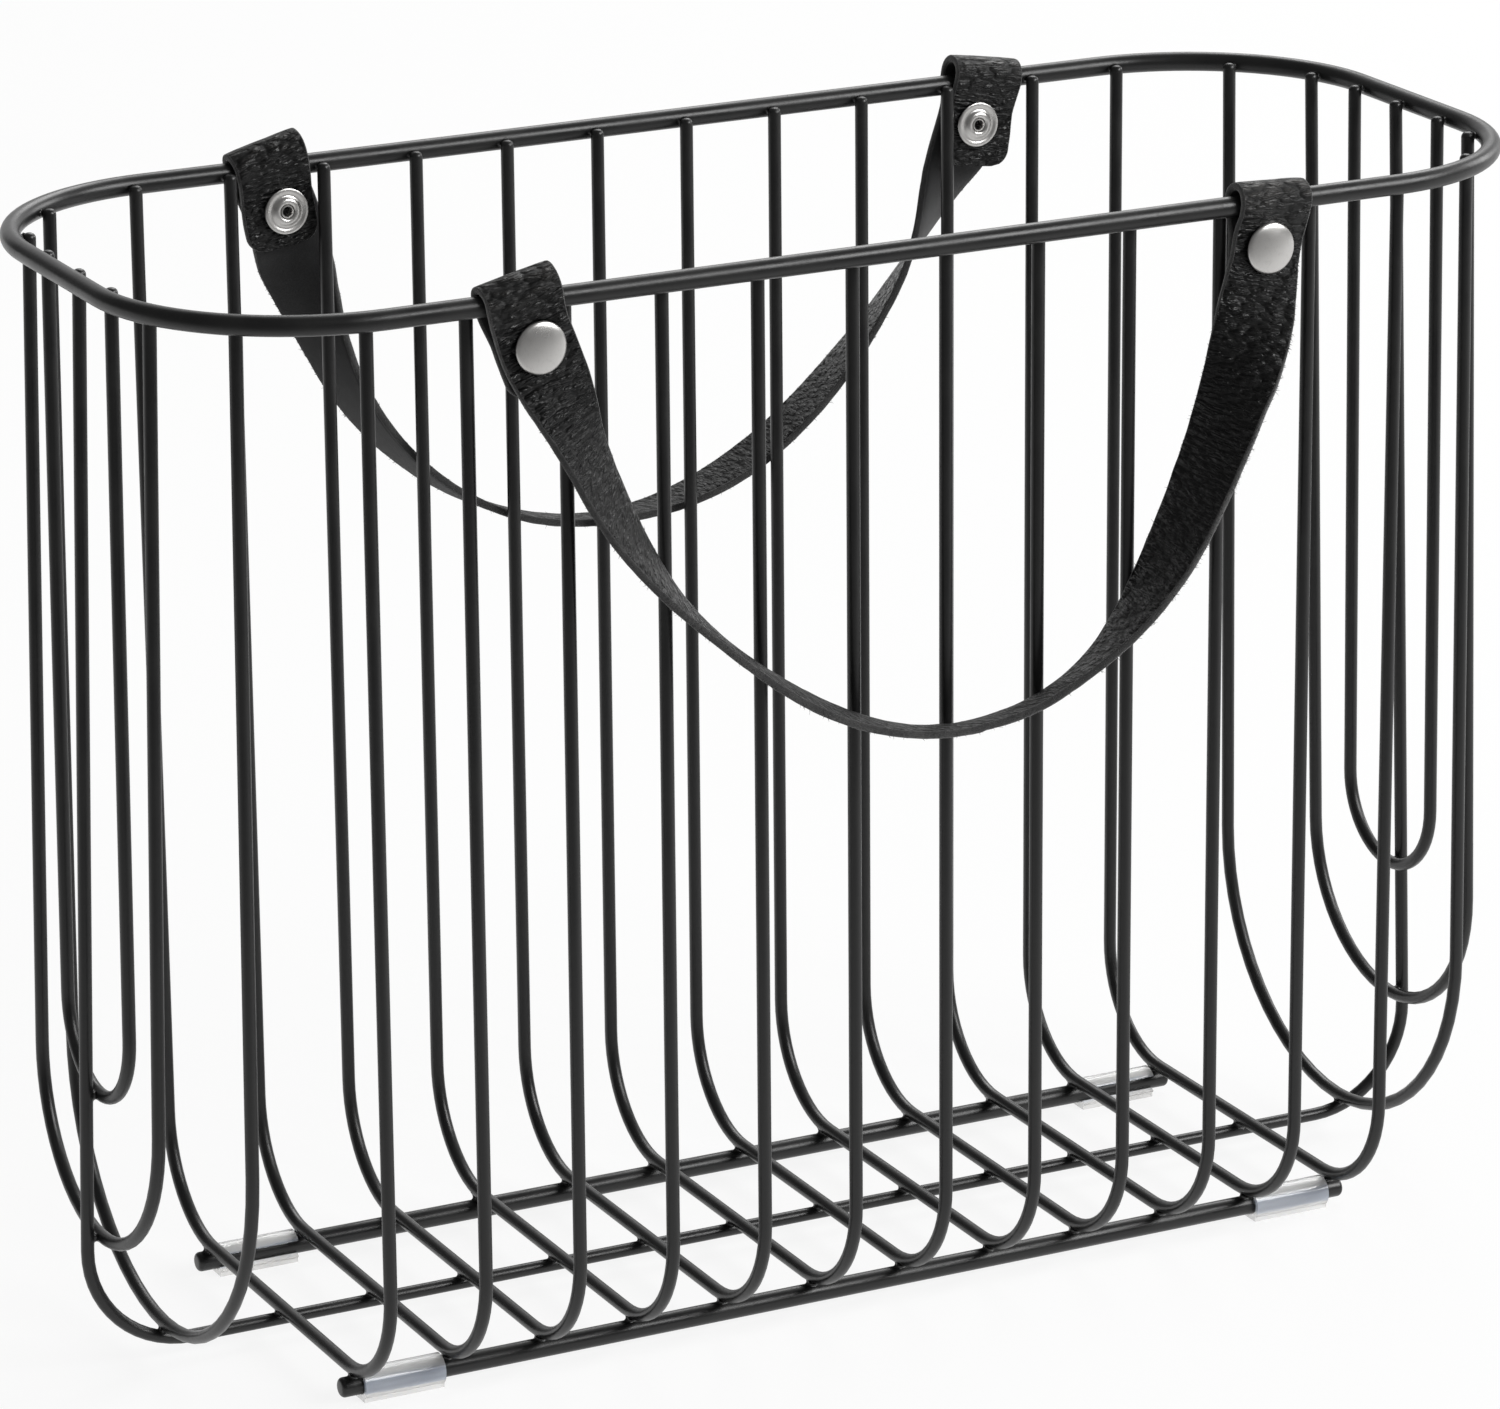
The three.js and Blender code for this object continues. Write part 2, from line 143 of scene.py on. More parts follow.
def newGroup(name, inputs, outputs):
    # An input without a value is a vector, and all others and the outputs are numbers
    tree = bpy.data.node_groups.new(name, "ShaderNodeTree")
    for label, value in inputs.items():
        kind = "NodeSocketVector" if value is None else "NodeSocketFloat"
        socket = tree.interface.new_socket(label, in_out="INPUT", socket_type=kind)
        if value is not None:
            socket.default_value = value
    for label in outputs:
        tree.interface.new_socket(label, in_out="OUTPUT", socket_type="NodeSocketFloat")
    return tree, tree.nodes.new("NodeGroupInput").outputs, tree.nodes.new("NodeGroupOutput").inputs


def useGroup(tree, group, inputs):
    return addNode(tree, "ShaderNodeGroup", inputs, node_tree=group).outputs


def newMaterial(name, plain):
    material = bpy.data.materials.new(name)
    material.use_nodes = True
    tree = material.node_tree
    shader = tree.nodes["Principled BSDF"]
    for socket, value in plain.items():
        shader.inputs[socket].default_value = value
    return material, tree, shader


def dress(tree, shader, colour, rough, height, relief):
    bump = addNode(tree, "ShaderNodeBump", {"Height": height, "Distance": relief, "Strength": 1.0})
    for name, value in (("Base Color", colour), ("Roughness", rough), ("Normal", bump.outputs[0])):
        tree.links.new(value, shader.inputs[name])


# Most of a noise lies in this range, which a mask spreads over 0 to 1
noiseMiddle = (0.3, 0.7)


# Orange peel: the gentle waves and fine pits of a sprayed or moulded skin
def makeOrangePeel():
    tree, given, put = newGroup(
        "orangePeel",
        {"Place": None, "Wave Size": 1.2 * mm, "Pit Size": 0.25 * mm, "Pit Share": 0.35,
         "Waves In Patch": 12.5},
        ["Height", "Patch"])
    waves = fineNoise(tree, given["Place"], oneOver(tree, given["Wave Size"]), detail=1.0)
    pits = fineNoise(tree, given["Place"], oneOver(tree, given["Pit Size"]))
    tree.links.new(calc(tree, "MULTIPLY_ADD", pits, given["Pit Share"], waves), put["Height"])
    patchSize = calc(tree, "MULTIPLY", given["Waves In Patch"], given["Wave Size"])
    patches = fineNoise(tree, given["Place"], oneOver(tree, patchSize), detail=3.0)
    tree.links.new(remap(tree, patches, *noiseMiddle), put["Patch"])
    return tree


# Dust: specks that settle on what faces up
dustShape = {
    "riseRange": (0.1, 0.95), "speckRange": (0.52, 0.75), "cloudScale": 30, "cloudRange": (0.35, 0.65),
    "least": 0.4,
}


def makeDust():
    tree, given, put = newGroup(
        "settledDust", {"Place": None, "Amount": 0.3, "Speck Size": 0.5 * mm}, ["Mask"])
    normal = addNode(tree, "ShaderNodeNewGeometry").outputs["Normal"]
    rise = remap(tree, splitVector(tree, normal)["Z"], *dustShape["riseRange"])
    specks = fineNoise(tree, given["Place"], oneOver(tree, given["Speck Size"]), detail=4.0, rough=0.7)
    cloud = fineNoise(tree, given["Place"], dustShape["cloudScale"])
    mask = calc(tree, "MULTIPLY", remap(tree, specks, *dustShape["speckRange"]), rise)
    mask = calc(tree, "MULTIPLY", mask, remap(tree, cloud, *dustShape["cloudRange"], dustShape["least"]))
    tree.links.new(calc(tree, "MULTIPLY", mask, given["Amount"]), put["Mask"])
    return tree


# Hairlines: fine scratches that run in two directions
lineShape = {"turns": ((0.3, 0.8, 0.4), (1.2, -0.5, 2.1)), "range": (0.64, 0.72)}


def makeHairlines():
    tree, given, put = newGroup("hairlines", {"Place": None, "Spacing": 0.4 * mm, "Stretch": 14.0}, ["Mask"])
    squeeze = {"X": oneOver(tree, given["Stretch"]), "Y": 1.0, "Z": 1.0}
    squeeze = addNode(tree, "ShaderNodeCombineXYZ", squeeze).outputs[0]
    scale = oneOver(tree, given["Spacing"])
    masks = []
    for angles in lineShape["turns"]:
        turned = addNode(tree, "ShaderNodeVectorRotate", {"Vector": given["Place"], "Rotation": angles},
                         rotation_type="EULER_XYZ").outputs[0]
        drawn = calcVector(tree, "MULTIPLY", turned, squeeze)
        lines = fineNoise(tree, drawn, scale)
        masks.append(remap(tree, lines, *lineShape["range"]))
    tree.links.new(calc(tree, "MAXIMUM", *masks), put["Mask"])
    return tree


# Pebble grain: rounded cells drawn out across the strap, smaller ones on them, and creases between
pebbleShape = {
    "soft": 0.35, "finer": 2.3, "finerSoft": 0.3, "finerShare": 0.14, "domeDrop": 1.5,
    "creaseScales": (0.75, 1.6), "creaseWidth": 0.085, "finerCrease": 0.45, "inCrease": 0.48,
    "creviceRange": (0.25, 0.75), "creviceInCrease": 0.3,
}


def makePebbleGrain():
    tree, given, put = newGroup(
        "pebbleGrain", {"Place": None, "Cell Size": 1.3 * mm, "Crease Length": 3.0, "Bend": 0.3},
        ["Height", "Crevice"])
    shape = pebbleShape
    scale = oneOver(tree, given["Cell Size"])
    wander = addNode(tree, "ShaderNodeTexNoise", {"Vector": given["Place"], "Scale": scale, "Detail": 1.0})
    middle = calcVector(tree, "SUBTRACT", wander.outputs["Color"], (0.5, 0.5, 0.5))
    bend = calc(tree, "MULTIPLY", given["Bend"], given["Cell Size"])
    push = addNode(tree, "ShaderNodeVectorMath", {0: middle, "Scale": bend}, operation="SCALE").outputs[0]
    bent = calcVector(tree, "ADD", given["Place"], push)
    domes = []
    for finer, soft in ((1.0, shape["soft"]), (shape["finer"], shape["finerSoft"])):
        inputs = {"Vector": bent, "Scale": calc(tree, "MULTIPLY", scale, finer), "Smoothness": soft}
        far = addNode(tree, "ShaderNodeTexVoronoi", inputs, feature="SMOOTH_F1").outputs["Distance"]
        fall = calc(tree, "MULTIPLY", calc(tree, "MULTIPLY", far, far), shape["domeDrop"])
        domes.append(calc(tree, "SUBTRACT", 1.0, fall))
    squeeze = {"X": 1.0, "Y": oneOver(tree, given["Crease Length"]), "Z": 1.0}
    squeeze = addNode(tree, "ShaderNodeCombineXYZ", squeeze).outputs[0]
    drawn = calcVector(tree, "MULTIPLY", bent, squeeze)
    valleys = []
    for coarser in shape["creaseScales"]:
        swell = fineNoise(tree, drawn, calc(tree, "MULTIPLY", scale, coarser), detail=1.0)
        depth = calc(tree, "ABSOLUTE", calc(tree, "SUBTRACT", swell, 0.5))
        valleys.append(remap(tree, depth, 0.0, shape["creaseWidth"]))
    crease = calc(tree, "MULTIPLY", valleys[0], between(tree, valleys[1], shape["finerCrease"]))
    cells = calc(tree, "MULTIPLY", domes[0], 1 - shape["finerShare"])
    cells = addScaled(tree, cells, (domes[1], shape["finerShare"]))
    tree.links.new(calc(tree, "MULTIPLY", cells, between(tree, crease, shape["inCrease"])), put["Height"])
    raised = calc(tree, "MULTIPLY", remap(tree, domes[0], *shape["creviceRange"]),
                  between(tree, crease, shape["creviceInCrease"]))
    tree.links.new(calc(tree, "SUBTRACT", 1.0, raised), put["Crevice"])
    return tree


orangePeel, settledDust = makeOrangePeel(), makeDust()
hairlines, pebbleGrain = makeHairlines(), makePebbleGrain()


def skinMarks(tree, look):
    # The marks of a hard skin: orange peel and hairlines, in the sizes of its look
    place = objectPlace(tree)
    peel = useGroup(tree, orangePeel, {"Place": place, "Wave Size": look["wave"], "Pit Size": look["pit"]})
    lines = {"Place": place, "Spacing": look["lineSpacing"], "Stretch": look["lineStretch"]}
    return place, peel, useGroup(tree, hairlines, lines)["Mask"]


# Finishes. Colours are linear.
coatLook = {
    "colour": (0.006, 0.006, 0.0063, 1), "patchColour": (0.009, 0.009, 0.0088, 1), "rough": (0.30, 0.38),
    "wave": 1.3 * mm, "pit": 0.3 * mm, "relief": 0.02 * mm,
    "lineSpacing": 0.9 * mm, "lineStretch": 14, "lineRough": 0.06,
    "dust": 0.12, "dustColour": (0.13, 0.125, 0.12, 1), "dustRough": 0.4,
}


def makePowderCoat():
    material, tree, shader = newMaterial("satinBlackCoat", {"Specular IOR Level": 0.45, "IOR": 1.5})
    look = coatLook
    place, peel, lines = skinMarks(tree, look)
    dust = useGroup(tree, settledDust, {"Place": place, "Amount": look["dust"]})["Mask"]
    colour = mixColour(tree, peel["Patch"], look["colour"], look["patchColour"])
    colour = mixColour(tree, dust, colour, look["dustColour"])
    rough = between(tree, peel["Patch"], *look["rough"])
    rough = addScaled(tree, rough, (lines, look["lineRough"]), (dust, look["dustRough"]))
    dress(tree, shader, colour, rough, peel["Height"], look["relief"])
    return material


grainLook = {
    "cell": 1.4 * mm, "drawnOut": 0.47, "relief": 1.4 * mm, "rough": (0.26, 0.34),
    "colour": (0.005, 0.005, 0.0051, 1), "creviceShadeColour": (0.003, 0.003, 0.003, 1), "creviceRough": 0.2,
    "patchScale": 90, "patchHeight": 0.4, "poreScale": 9000, "poreHeight": 0.008,
    "rubbedHighlightColour": (0.04, 0.037, 0.034, 1), "leastRubbedHighlight": 0.4, "rubbedRough": 0.12, "rubbedFlat": 0.35,
    "gripFrom": (80 * mm, 130 * mm), "gripTo": (200 * mm, 260 * mm), "gripRough": 0.2, "gripFlat": 0.65,
}


def makeGrainLeather():
    material, tree, shader = newMaterial("pebbledLeather", {"Specular IOR Level": 0.3})
    look = grainLook
    place, wearAndHighlight = attribute(tree, "strapPlace")["Vector"], attribute(tree, "strapWearAndHighlight")["Fac"]
    drawn = calcVector(tree, "MULTIPLY", place, (1.0, look["drawnOut"], 1.0))
    grain = useGroup(tree, pebbleGrain, {"Place": drawn, "Cell Size": look["cell"]})
    patch = fineNoise(tree, place, look["patchScale"], detail=3.0, rough=0.6)
    pores = fineNoise(tree, place, look["poreScale"], rough=0.7)
    # Painted highlight and wear: the fold's top gets a lighter colour
    rubbedAndHighlit = calc(tree, "MULTIPLY", wearAndHighlight, remap(tree, patch, *noiseMiddle, look["leastRubbedHighlight"]))
    colour = mixColour(tree, rubbedAndHighlit, look["colour"], look["rubbedHighlightColour"])
    # Painted shade: the grain's crevices get a darker colour
    colour = mixColour(tree, grain["Crevice"], colour, look["creviceShadeColour"])
    # The run that a hand grips is more matte, and its grain is flatter
    along = splitVector(tree, place)["X"]
    grip = calc(tree, "MULTIPLY", remap(tree, along, *look["gripFrom"]),
                remap(tree, along, *look["gripTo"], 1.0, 0.0))
    rough = addScaled(tree, remap(tree, patch, *noiseMiddle, *look["rough"]), (grip, look["gripRough"]),
                      (grain["Crevice"], look["creviceRough"]), (wearAndHighlight, look["rubbedRough"]))
    height = addScaled(tree, grain["Height"], (pores, look["poreHeight"]), (patch, look["patchHeight"]))
    height = calc(tree, "MULTIPLY", height, between(tree, wearAndHighlight, 1.0, look["rubbedFlat"]))
    height = calc(tree, "MULTIPLY", height, between(tree, grip, 1.0, look["gripFlat"]))
    dress(tree, shader, colour, rough, height, look["relief"])
    return material


# The flesh side and the cut edge have the same nap, in their own sizes and colours
suedeLook = {
    "colour": (0.011, 0.011, 0.0115, 1), "napColour": (0.022, 0.022, 0.023, 1),
    "nap": 0.35 * mm, "relief": 0.08 * mm, "sheen": 0.15,
}
edgeLook = {
    "colour": (0.018, 0.018, 0.0185, 1), "napColour": (0.07, 0.069, 0.067, 1),
    "nap": 0.28 * mm, "relief": 0.16 * mm, "sheen": 0.4,
}
napShape = {"range": (0.4, 0.7), "rough": (0.95, 0.75), "blotchScale": 160, "least": 0.3}


def makeSuede(name, look):
    plain = {"Specular IOR Level": 0.2, "Sheen Weight": look["sheen"], "Sheen Roughness": 0.5}
    material, tree, shader = newMaterial(name, plain)
    place = attribute(tree, "strapPlace")["Vector"]
    nap = fineNoise(tree, place, 1 / look["nap"], detail=4.0, rough=0.75, distort=0.6)
    blotch = fineNoise(tree, place, napShape["blotchScale"], detail=3.0)
    pale = calc(tree, "MULTIPLY", remap(tree, nap, *napShape["range"]),
                remap(tree, blotch, *noiseMiddle, napShape["least"]))
    colour = mixColour(tree, pale, look["colour"], look["napColour"])
    dress(tree, shader, colour, remap(tree, nap, *noiseMiddle, *napShape["rough"]), nap, look["relief"])
    return material


nickelLook = {
    "colour": (0.60, 0.59, 0.575, 1), "dullColour": (0.49, 0.48, 0.465, 1), "rough": (0.27, 0.33),
    "wave": 0.5 * mm, "pit": 0.08 * mm, "relief": 0.0012 * mm,
    "spotScale": 900, "spotRange": (0.5, 0.75), "spotTone": 0.6,
    "lineSpacing": 0.16 * mm, "lineStretch": 20, "lineTone": 0.5, "lineRough": 0.12, "lineHeight": -0.6,
}


def makeNickel():
    material, tree, shader = newMaterial("satinNickel", {"Metallic": 1.0})
    look = nickelLook
    place, peel, lines = skinMarks(tree, look)
    spots = fineNoise(tree, place, look["spotScale"], detail=4.0, rough=0.7)
    spots = remap(tree, spots, *look["spotRange"])
    dull = strongest(tree, (lines, look["lineTone"]), (spots, look["spotTone"]))
    colour = mixColour(tree, dull, look["colour"], look["dullColour"])
    rough = addScaled(tree, between(tree, peel["Patch"], *look["rough"]), (lines, look["lineRough"]))
    height = addScaled(tree, peel["Height"], (lines, look["lineHeight"]))
    dress(tree, shader, colour, rough, height, look["relief"])
    return material


# The clips' colour holds painted light in level bands: a pale painted highlight on top, a blue-grey painted
# shade in the middle where the rail shows through, and pale painted floor light on the sole
vinylLook = {
    "topHighlightColour": (0.93, 0.925, 0.91, 1), "middleShadeColour": (0.56, 0.61, 0.70, 1),
    "soleFloorLightColour": (0.84, 0.83, 0.81, 1), "soleHeight": 2.4 * mm, "topHeight": 6.2 * mm, "blend": 0.5 * mm,
    "streak": 0.7 * mm, "streakLength": 14, "streakPush": 2.4 * mm,
    "wave": 2.5 * mm, "pit": 0.3 * mm, "relief": 0.006 * mm, "lineSpacing": 0.5 * mm, "lineStretch": 10,
    "hazeColour": (0.86, 0.87, 0.89, 1), "patchHaze": 0.4, "lineHaze": 0.35, "dust": 0.3,
    "rough": (0.05, 0.16),
}


def bandAbove(tree, height, level):
    return remap(tree, height, level - vinylLook["blend"], level + vinylLook["blend"])


def makeVinyl():
    plain = {"Transmission Weight": 0.55, "IOR": 1.45, "Specular IOR Level": 0.5}
    material, tree, shader = newMaterial("clearVinyl", plain)
    look = vinylLook
    place, peel, lines = skinMarks(tree, look)
    dust = useGroup(tree, settledDust, {"Place": place, "Amount": look["dust"]})["Mask"]
    haze = strongest(tree, (peel["Patch"], look["patchHaze"]), (lines, look["lineHaze"]), (dust, 1.0))
    drawn = calcVector(tree, "MULTIPLY", place, (1 / look["streakLength"], 1.0, 1.0))
    streaks = fineNoise(tree, drawn, 1 / look["streak"], detail=3.0, rough=0.6)
    streaks = calc(tree, "SUBTRACT", streaks, 0.5)
    height = addScaled(tree, splitVector(tree, place)["Z"], (streaks, look["streakPush"]))
    # Painted light: these bands of painted highlight, painted shade and painted floor light follow the
    # height, with streaky edges
    band = bandAbove(tree, height, look["soleHeight"])
    colour = mixColour(tree, band, look["soleFloorLightColour"], look["middleShadeColour"])
    colour = mixColour(tree, bandAbove(tree, height, look["topHeight"]), colour, look["topHighlightColour"])
    colour = mixColour(tree, haze, colour, look["hazeColour"])
    dress(tree, shader, colour, between(tree, haze, *look["rough"]), peel["Height"], look["relief"])
    return material


powderCoat, grainLeather, nickel, vinyl = makePowderCoat(), makeGrainLeather(), makeNickel(), makeVinyl()
suede, cutEdge = makeSuede("fleshSideLeather", suedeLook), makeSuede("cutLeatherEdge", edgeLook)
print("materials made")


# Mesh helpers
def addRings(bm, rings, closed=False):
    loops = [[bm.verts.new(point) for point in ring] for ring in rings]
    faces = []
    pairs = zip(loops, loops[1:] + loops[:1]) if closed else zip(loops, loops[1:])
    for first, second in pairs:
        for index in range(len(first)):
            after = (index + 1) % len(first)
            faces.append(bm.faces.new((first[index], first[after], second[after], second[index])))
    if not closed:
        faces += [bm.faces.new(loops[0][::-1]), bm.faces.new(loops[-1])]
    return loops, faces


def frameAlong(points, closed=False):
    count = len(points)
    tangents = []
    for index in range(count):
        before = points[index - 1] if index or closed else points[0]
        after = points[(index + 1) % count] if index < count - 1 or closed else points[-1]
        tangents.append((after - before).normalized())
    side = tangents[0].orthogonal().normalized()
    sides = [side]
    for first, second in zip(tangents, tangents[1:]):
        side = first.rotation_difference(second) @ side
        sides.append((side - second * side.dot(second)).normalized())
    return tangents, sides


def tubeRings(points, radius, sides, closed=False, rounding=0.0):
    tangents, normals = frameAlong(points, closed)
    places = [(point, tangent, normal, radius) for point, tangent, normal in zip(points, tangents, normals)]
    if rounding:
        steps = 5
        capped = []
        for (point, tangent, normal, full), way in ((places[0], -1), (places[-1], 1)):
            ring = []
            for step in range(steps + 1):
                angle = math.pi / 2 * step / steps
                inset = rounding * (1 - math.sin(angle))
                size = full - rounding * (1 - math.cos(angle))
                ring.append((point - tangent * way * inset, tangent, normal, size))
            capped.append(ring)
        places = capped[0][::-1] + places[1:-1] + capped[1]
    rings = []
    for point, tangent, normal, size in places:
        other = tangent.cross(normal)
        turns = [2 * math.pi * step / sides for step in range(sides)]
        rings.append([point + (normal * math.cos(turn) + other * math.sin(turn)) * size for turn in turns])
    return rings


def finishPiece(bm, name, body, materials, slot, *nodes, sharpAngle=40):
    bmesh.ops.recalc_face_normals(bm, faces=bm.faces)
    mesh = bpy.data.meshes.new(name)
    bm.to_mesh(mesh)
    bm.free()
    for material in materials:
        mesh.materials.append(material)
    mesh.shade_smooth()
    mesh.set_sharp_from_angle(angle=math.radians(sharpAngle))
    piece = bpy.data.objects.new(name, mesh)
    bpy.context.scene.collection.objects.link(piece)
    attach(piece, body)
    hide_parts(*nodes)
    return piece


# Wires. Bends are given to the middle of the wire, and heights are above the floor.
wires = {
    "length": 371 * mm, "width": 152 * mm, "height": 277.7 * mm,
    "rim": 2.5 * mm, "hoop": 1.65 * mm, "rail": 2.5 * mm, "gap": 0.3 * mm,
    "rimCorner": 50 * mm, "hoopBend": 27.2 * mm, "keelBend": 26.4 * mm, "keelBulge": 7.5 * mm,
    "rowInset": 49 * mm, "mainHoops": 12, "topDrop": 1.7 * mm,
    "endWidths": (0.287, 0.545, 0.831), "endLifts": (63.5 * mm, 27 * mm, 1.1 * mm),
    "railHeight": 4 * mm, "railPastFlat": 3 * mm, "railOverhang": 3.5 * mm,
    "railRound": 1.1 * mm, "hoopRound": 1.3 * mm,
    "wireSides": 20, "rimSides": 28, "bendSteps": 14, "cornerSteps": 22,
}
rimHeight = wires["height"] - wires["rim"]
rimX, rimY = wires["length"] / 2 - wires["rim"], wires["width"] / 2 - wires["rim"]
hoopInset = wires["rim"] + wires["gap"] + wires["hoop"]
hoopTop = wires["height"] - wires["topDrop"]
hoopY = rimY - hoopInset
railHeight = wires["railHeight"]
hoopFloor = railHeight + wires["rail"] + wires["gap"] + wires["hoop"]
railY = hoopY - wires["hoopBend"] + wires["railPastFlat"]
keelInset = 2 * wires["hoop"] + wires["gap"]
keelHeight = hoopFloor - keelInset
keelBendTop = keelHeight + wires["keelBend"]
keelTop = rimX - hoopInset
keelSide = keelTop + wires["keelBulge"]
lastHoop = wires["length"] / 2 - wires["rowInset"]
pitch = 2 * lastHoop / (wires["mainHoops"] - 1)


def roundCorner(before, corner, after, radius, steps):
    back, ahead = (before - corner).normalized(), (after - corner).normalized()
    half = back.angle(ahead) / 2
    middle = corner + (back + ahead).normalized() * (radius / math.sin(half))
    start = corner + back * (radius / math.tan(half)) - middle
    stop = corner + ahead * (radius / math.tan(half)) - middle
    sweep = math.pi - 2 * half
    points = []
    for step in range(steps + 1):
        share = step / steps
        mix = start * math.sin((1 - share) * sweep) + stop * math.sin(share * sweep)
        points.append(middle + mix / math.sin(sweep))
    return points


def bentWire(corners, radius, steps):
    points = [corners[0]]
    for index in range(1, len(corners) - 1):
        bend = roundCorner(corners[index - 1], corners[index], corners[index + 1], radius, steps)
        points += bend if (bend[0] - points[-1]).length > wires["gap"] else bend[1:]
    return points + [corners[-1]]


def inRim(halfWidth):
    past = max(0, halfWidth - (rimY - wires["rimCorner"]))
    return rimX - wires["rimCorner"] + math.sqrt((wires["rimCorner"] - hoopInset) ** 2 - past ** 2)


def inKeel(height):
    if height < keelBendTop:
        inner, below = wires["keelBend"] - keelInset, keelBendTop - height
        return keelSide - wires["keelBend"] + math.sqrt(inner ** 2 - below ** 2)
    return keelSide - keelInset - wires["keelBulge"] * (height - keelBendTop) / (hoopTop - keelBendTop)


# Weld: a small fillet that flows from one round wire onto another that crosses it
weld = {
    "reach": 2.15 * mm, "above": 0.4, "narrow": 0.62, "slimFrom": 2 * mm, "slimBase": 0.15, "sunk": 0.06 * mm,
    "uneven": 0.28, "lumps": 1.3, "apart": 1.7, "mostAcross": 0.97, "near": 0.7, "pull": 0.5,
    "turns": 20, "steps": 7,
}
weldNumbers = itertools.count(1)


def bezier(controls, t):
    top = len(controls) - 1
    parts = [math.comb(top, power) * t ** power * (1 - t) ** (top - power) for power in range(top + 1)]
    return sum((control * part for control, part in zip(controls, parts)), Vector())


def addWeld(bm, first, alongFirst, firstRadius, second, alongSecond, secondRadius, above=1.0):
    number = next(weldNumbers)
    lift = (second - first).normalized()
    half = (second - first).length / 2
    middle = (first + second) / 2
    one = (alongFirst - lift * alongFirst.dot(lift)).normalized()
    two = lift.cross(one)
    cross = (alongSecond - lift * alongSecond.dot(lift)).normalized()

    def onWire(way, far, alongWire, radius, sign):
        off = min((way - alongWire * way.dot(alongWire)).length * far, radius * weld["mostAcross"])
        return middle + way * far + lift * sign * (math.sqrt(radius ** 2 - off ** 2) - half)

    rings = [[] for _ in range(weld["steps"] + 1)]
    for turn in range(weld["turns"]):
        angle = 2 * math.pi * turn / weld["turns"]
        way = one * math.cos(angle) + two * math.sin(angle)
        spot = Vector((math.cos(angle), math.sin(angle), number * weld["apart"]))
        reach = weld["reach"] * (1 + weld["uneven"] * noise.noise(spot * weld["lumps"]))
        reach *= 1 - (1 - above) * max(0, way.z)
        ends = []
        for alongWire, radius, sign in ((one, firstRadius, 1), (cross, secondRadius, -1)):
            wide = weld["narrow"] + (1 - weld["narrow"]) * abs(way.dot(alongWire))
            far = reach * wide * min(1, radius / weld["slimFrom"] + weld["slimBase"])
            end = onWire(way, far, alongWire, radius, sign)
            near = onWire(way, far * weld["near"], alongWire, radius, sign)
            pull = (near - end).normalized() * far * weld["pull"]
            ends.append((end - lift * sign * weld["sunk"], pull))
        (start, startPull), (stop, stopPull) = ends
        for step, ring in enumerate(rings):
            ring.append(bezier([start, start + startPull, stop + stopPull, stop], step / weld["steps"]))
    addRings(bm, rings)


def addRim():
    bm = bmesh.new()
    spots = [Vector((rimX * a, rimY * b, rimHeight)) for a, b in ((1, -1), (1, 1), (-1, 1), (-1, -1))]
    points = []
    for index, spot in enumerate(spots):
        points += roundCorner(spots[index - 1], spot, spots[(index + 1) % len(spots)],
                              wires["rimCorner"], wires["cornerSteps"])
    addRings(bm, tubeRings(points, wires["rim"], wires["rimSides"], closed=True), closed=True)
    finishPiece(bm, "rimWire", "basket", [powderCoat], "wire", "rim")


def rimSpot(halfWidth, side, way):
    # Where the rim's axis lies outside a hoop's top, and the rim's direction there
    past = max(0, halfWidth - (rimY - wires["rimCorner"]))
    corner = Vector((way * (rimX - wires["rimCorner"]), side * (rimY - wires["rimCorner"]), rimHeight))
    inner = Vector((way * inRim(halfWidth), side * halfWidth, rimHeight))
    if past == 0:
        return Vector((way * rimX, side * halfWidth, rimHeight)), inner, y
    outward = (inner - corner).normalized()
    return corner + outward * wires["rimCorner"], inner, outward.cross(z)


def addHoops():
    ends = len(wires["endWidths"])
    total = wires["mainHoops"] + 2 * ends
    for number in range(1, total + 1):
        fromEnd = min(number, total + 1 - number) - 1
        way = -1 if number <= total / 2 else 1
        bm = bmesh.new()
        if fromEnd < ends:
            half = hoopY * wires["endWidths"][fromEnd]
            floor = hoopFloor + wires["endLifts"][fromEnd]
            top, low, bend = way * inRim(half), way * inKeel(floor), half
        else:
            half, floor, bend = hoopY, hoopFloor, wires["hoopBend"]
            top = low = pitch * (number - ends - 1) - lastHoop
        corners = [Vector((top, -half, hoopTop)), Vector((low, -half, floor)),
                   Vector((low, half, floor)), Vector((top, half, hoopTop))]
        points = bentWire(corners, bend, wires["bendSteps"])
        addRings(bm, tubeRings(points, wires["hoop"], wires["wireSides"], rounding=wires["hoopRound"]))
        for side in (-1, 1):
            if fromEnd < ends:
                rimAxis, hoopAxis, rimWay = rimSpot(half, side, way)
            else:
                rimAxis, hoopAxis = (Vector((top, side * across, rimHeight)) for across in (rimY, half))
                rimWay = x
                drop = wires["hoopBend"] - math.sqrt(wires["hoopBend"] ** 2 - wires["railPastFlat"] ** 2)
                addWeld(bm, Vector((top, side * railY, railHeight)), x, wires["rail"],
                        Vector((top, side * railY, hoopFloor + drop)), y, wires["hoop"])
            addWeld(bm, rimAxis, rimWay, wires["rim"], hoopAxis, z, wires["hoop"], weld["above"])
        if fromEnd < ends:
            middle = Vector((way * (keelSide - wires["keelBend"]), 0, keelBendTop))
            inner = Vector((low, 0, floor))
            inward = (middle - inner).normalized() if floor < keelBendTop else Vector((-way, 0, 0))
            addWeld(bm, inner - inward * keelInset, inward.cross(y), wires["hoop"], inner, y, wires["hoop"])
        else:
            keelSpot, hoopSpot = (Vector((top, 0, height)) for height in (keelHeight, hoopFloor))
            addWeld(bm, keelSpot, x, wires["hoop"], hoopSpot, y, wires["hoop"])
        name = f"{number:02d}"
        finishPiece(bm, "hoopWire" + name, "basket", [powderCoat], "wire", "hoop_" + name)


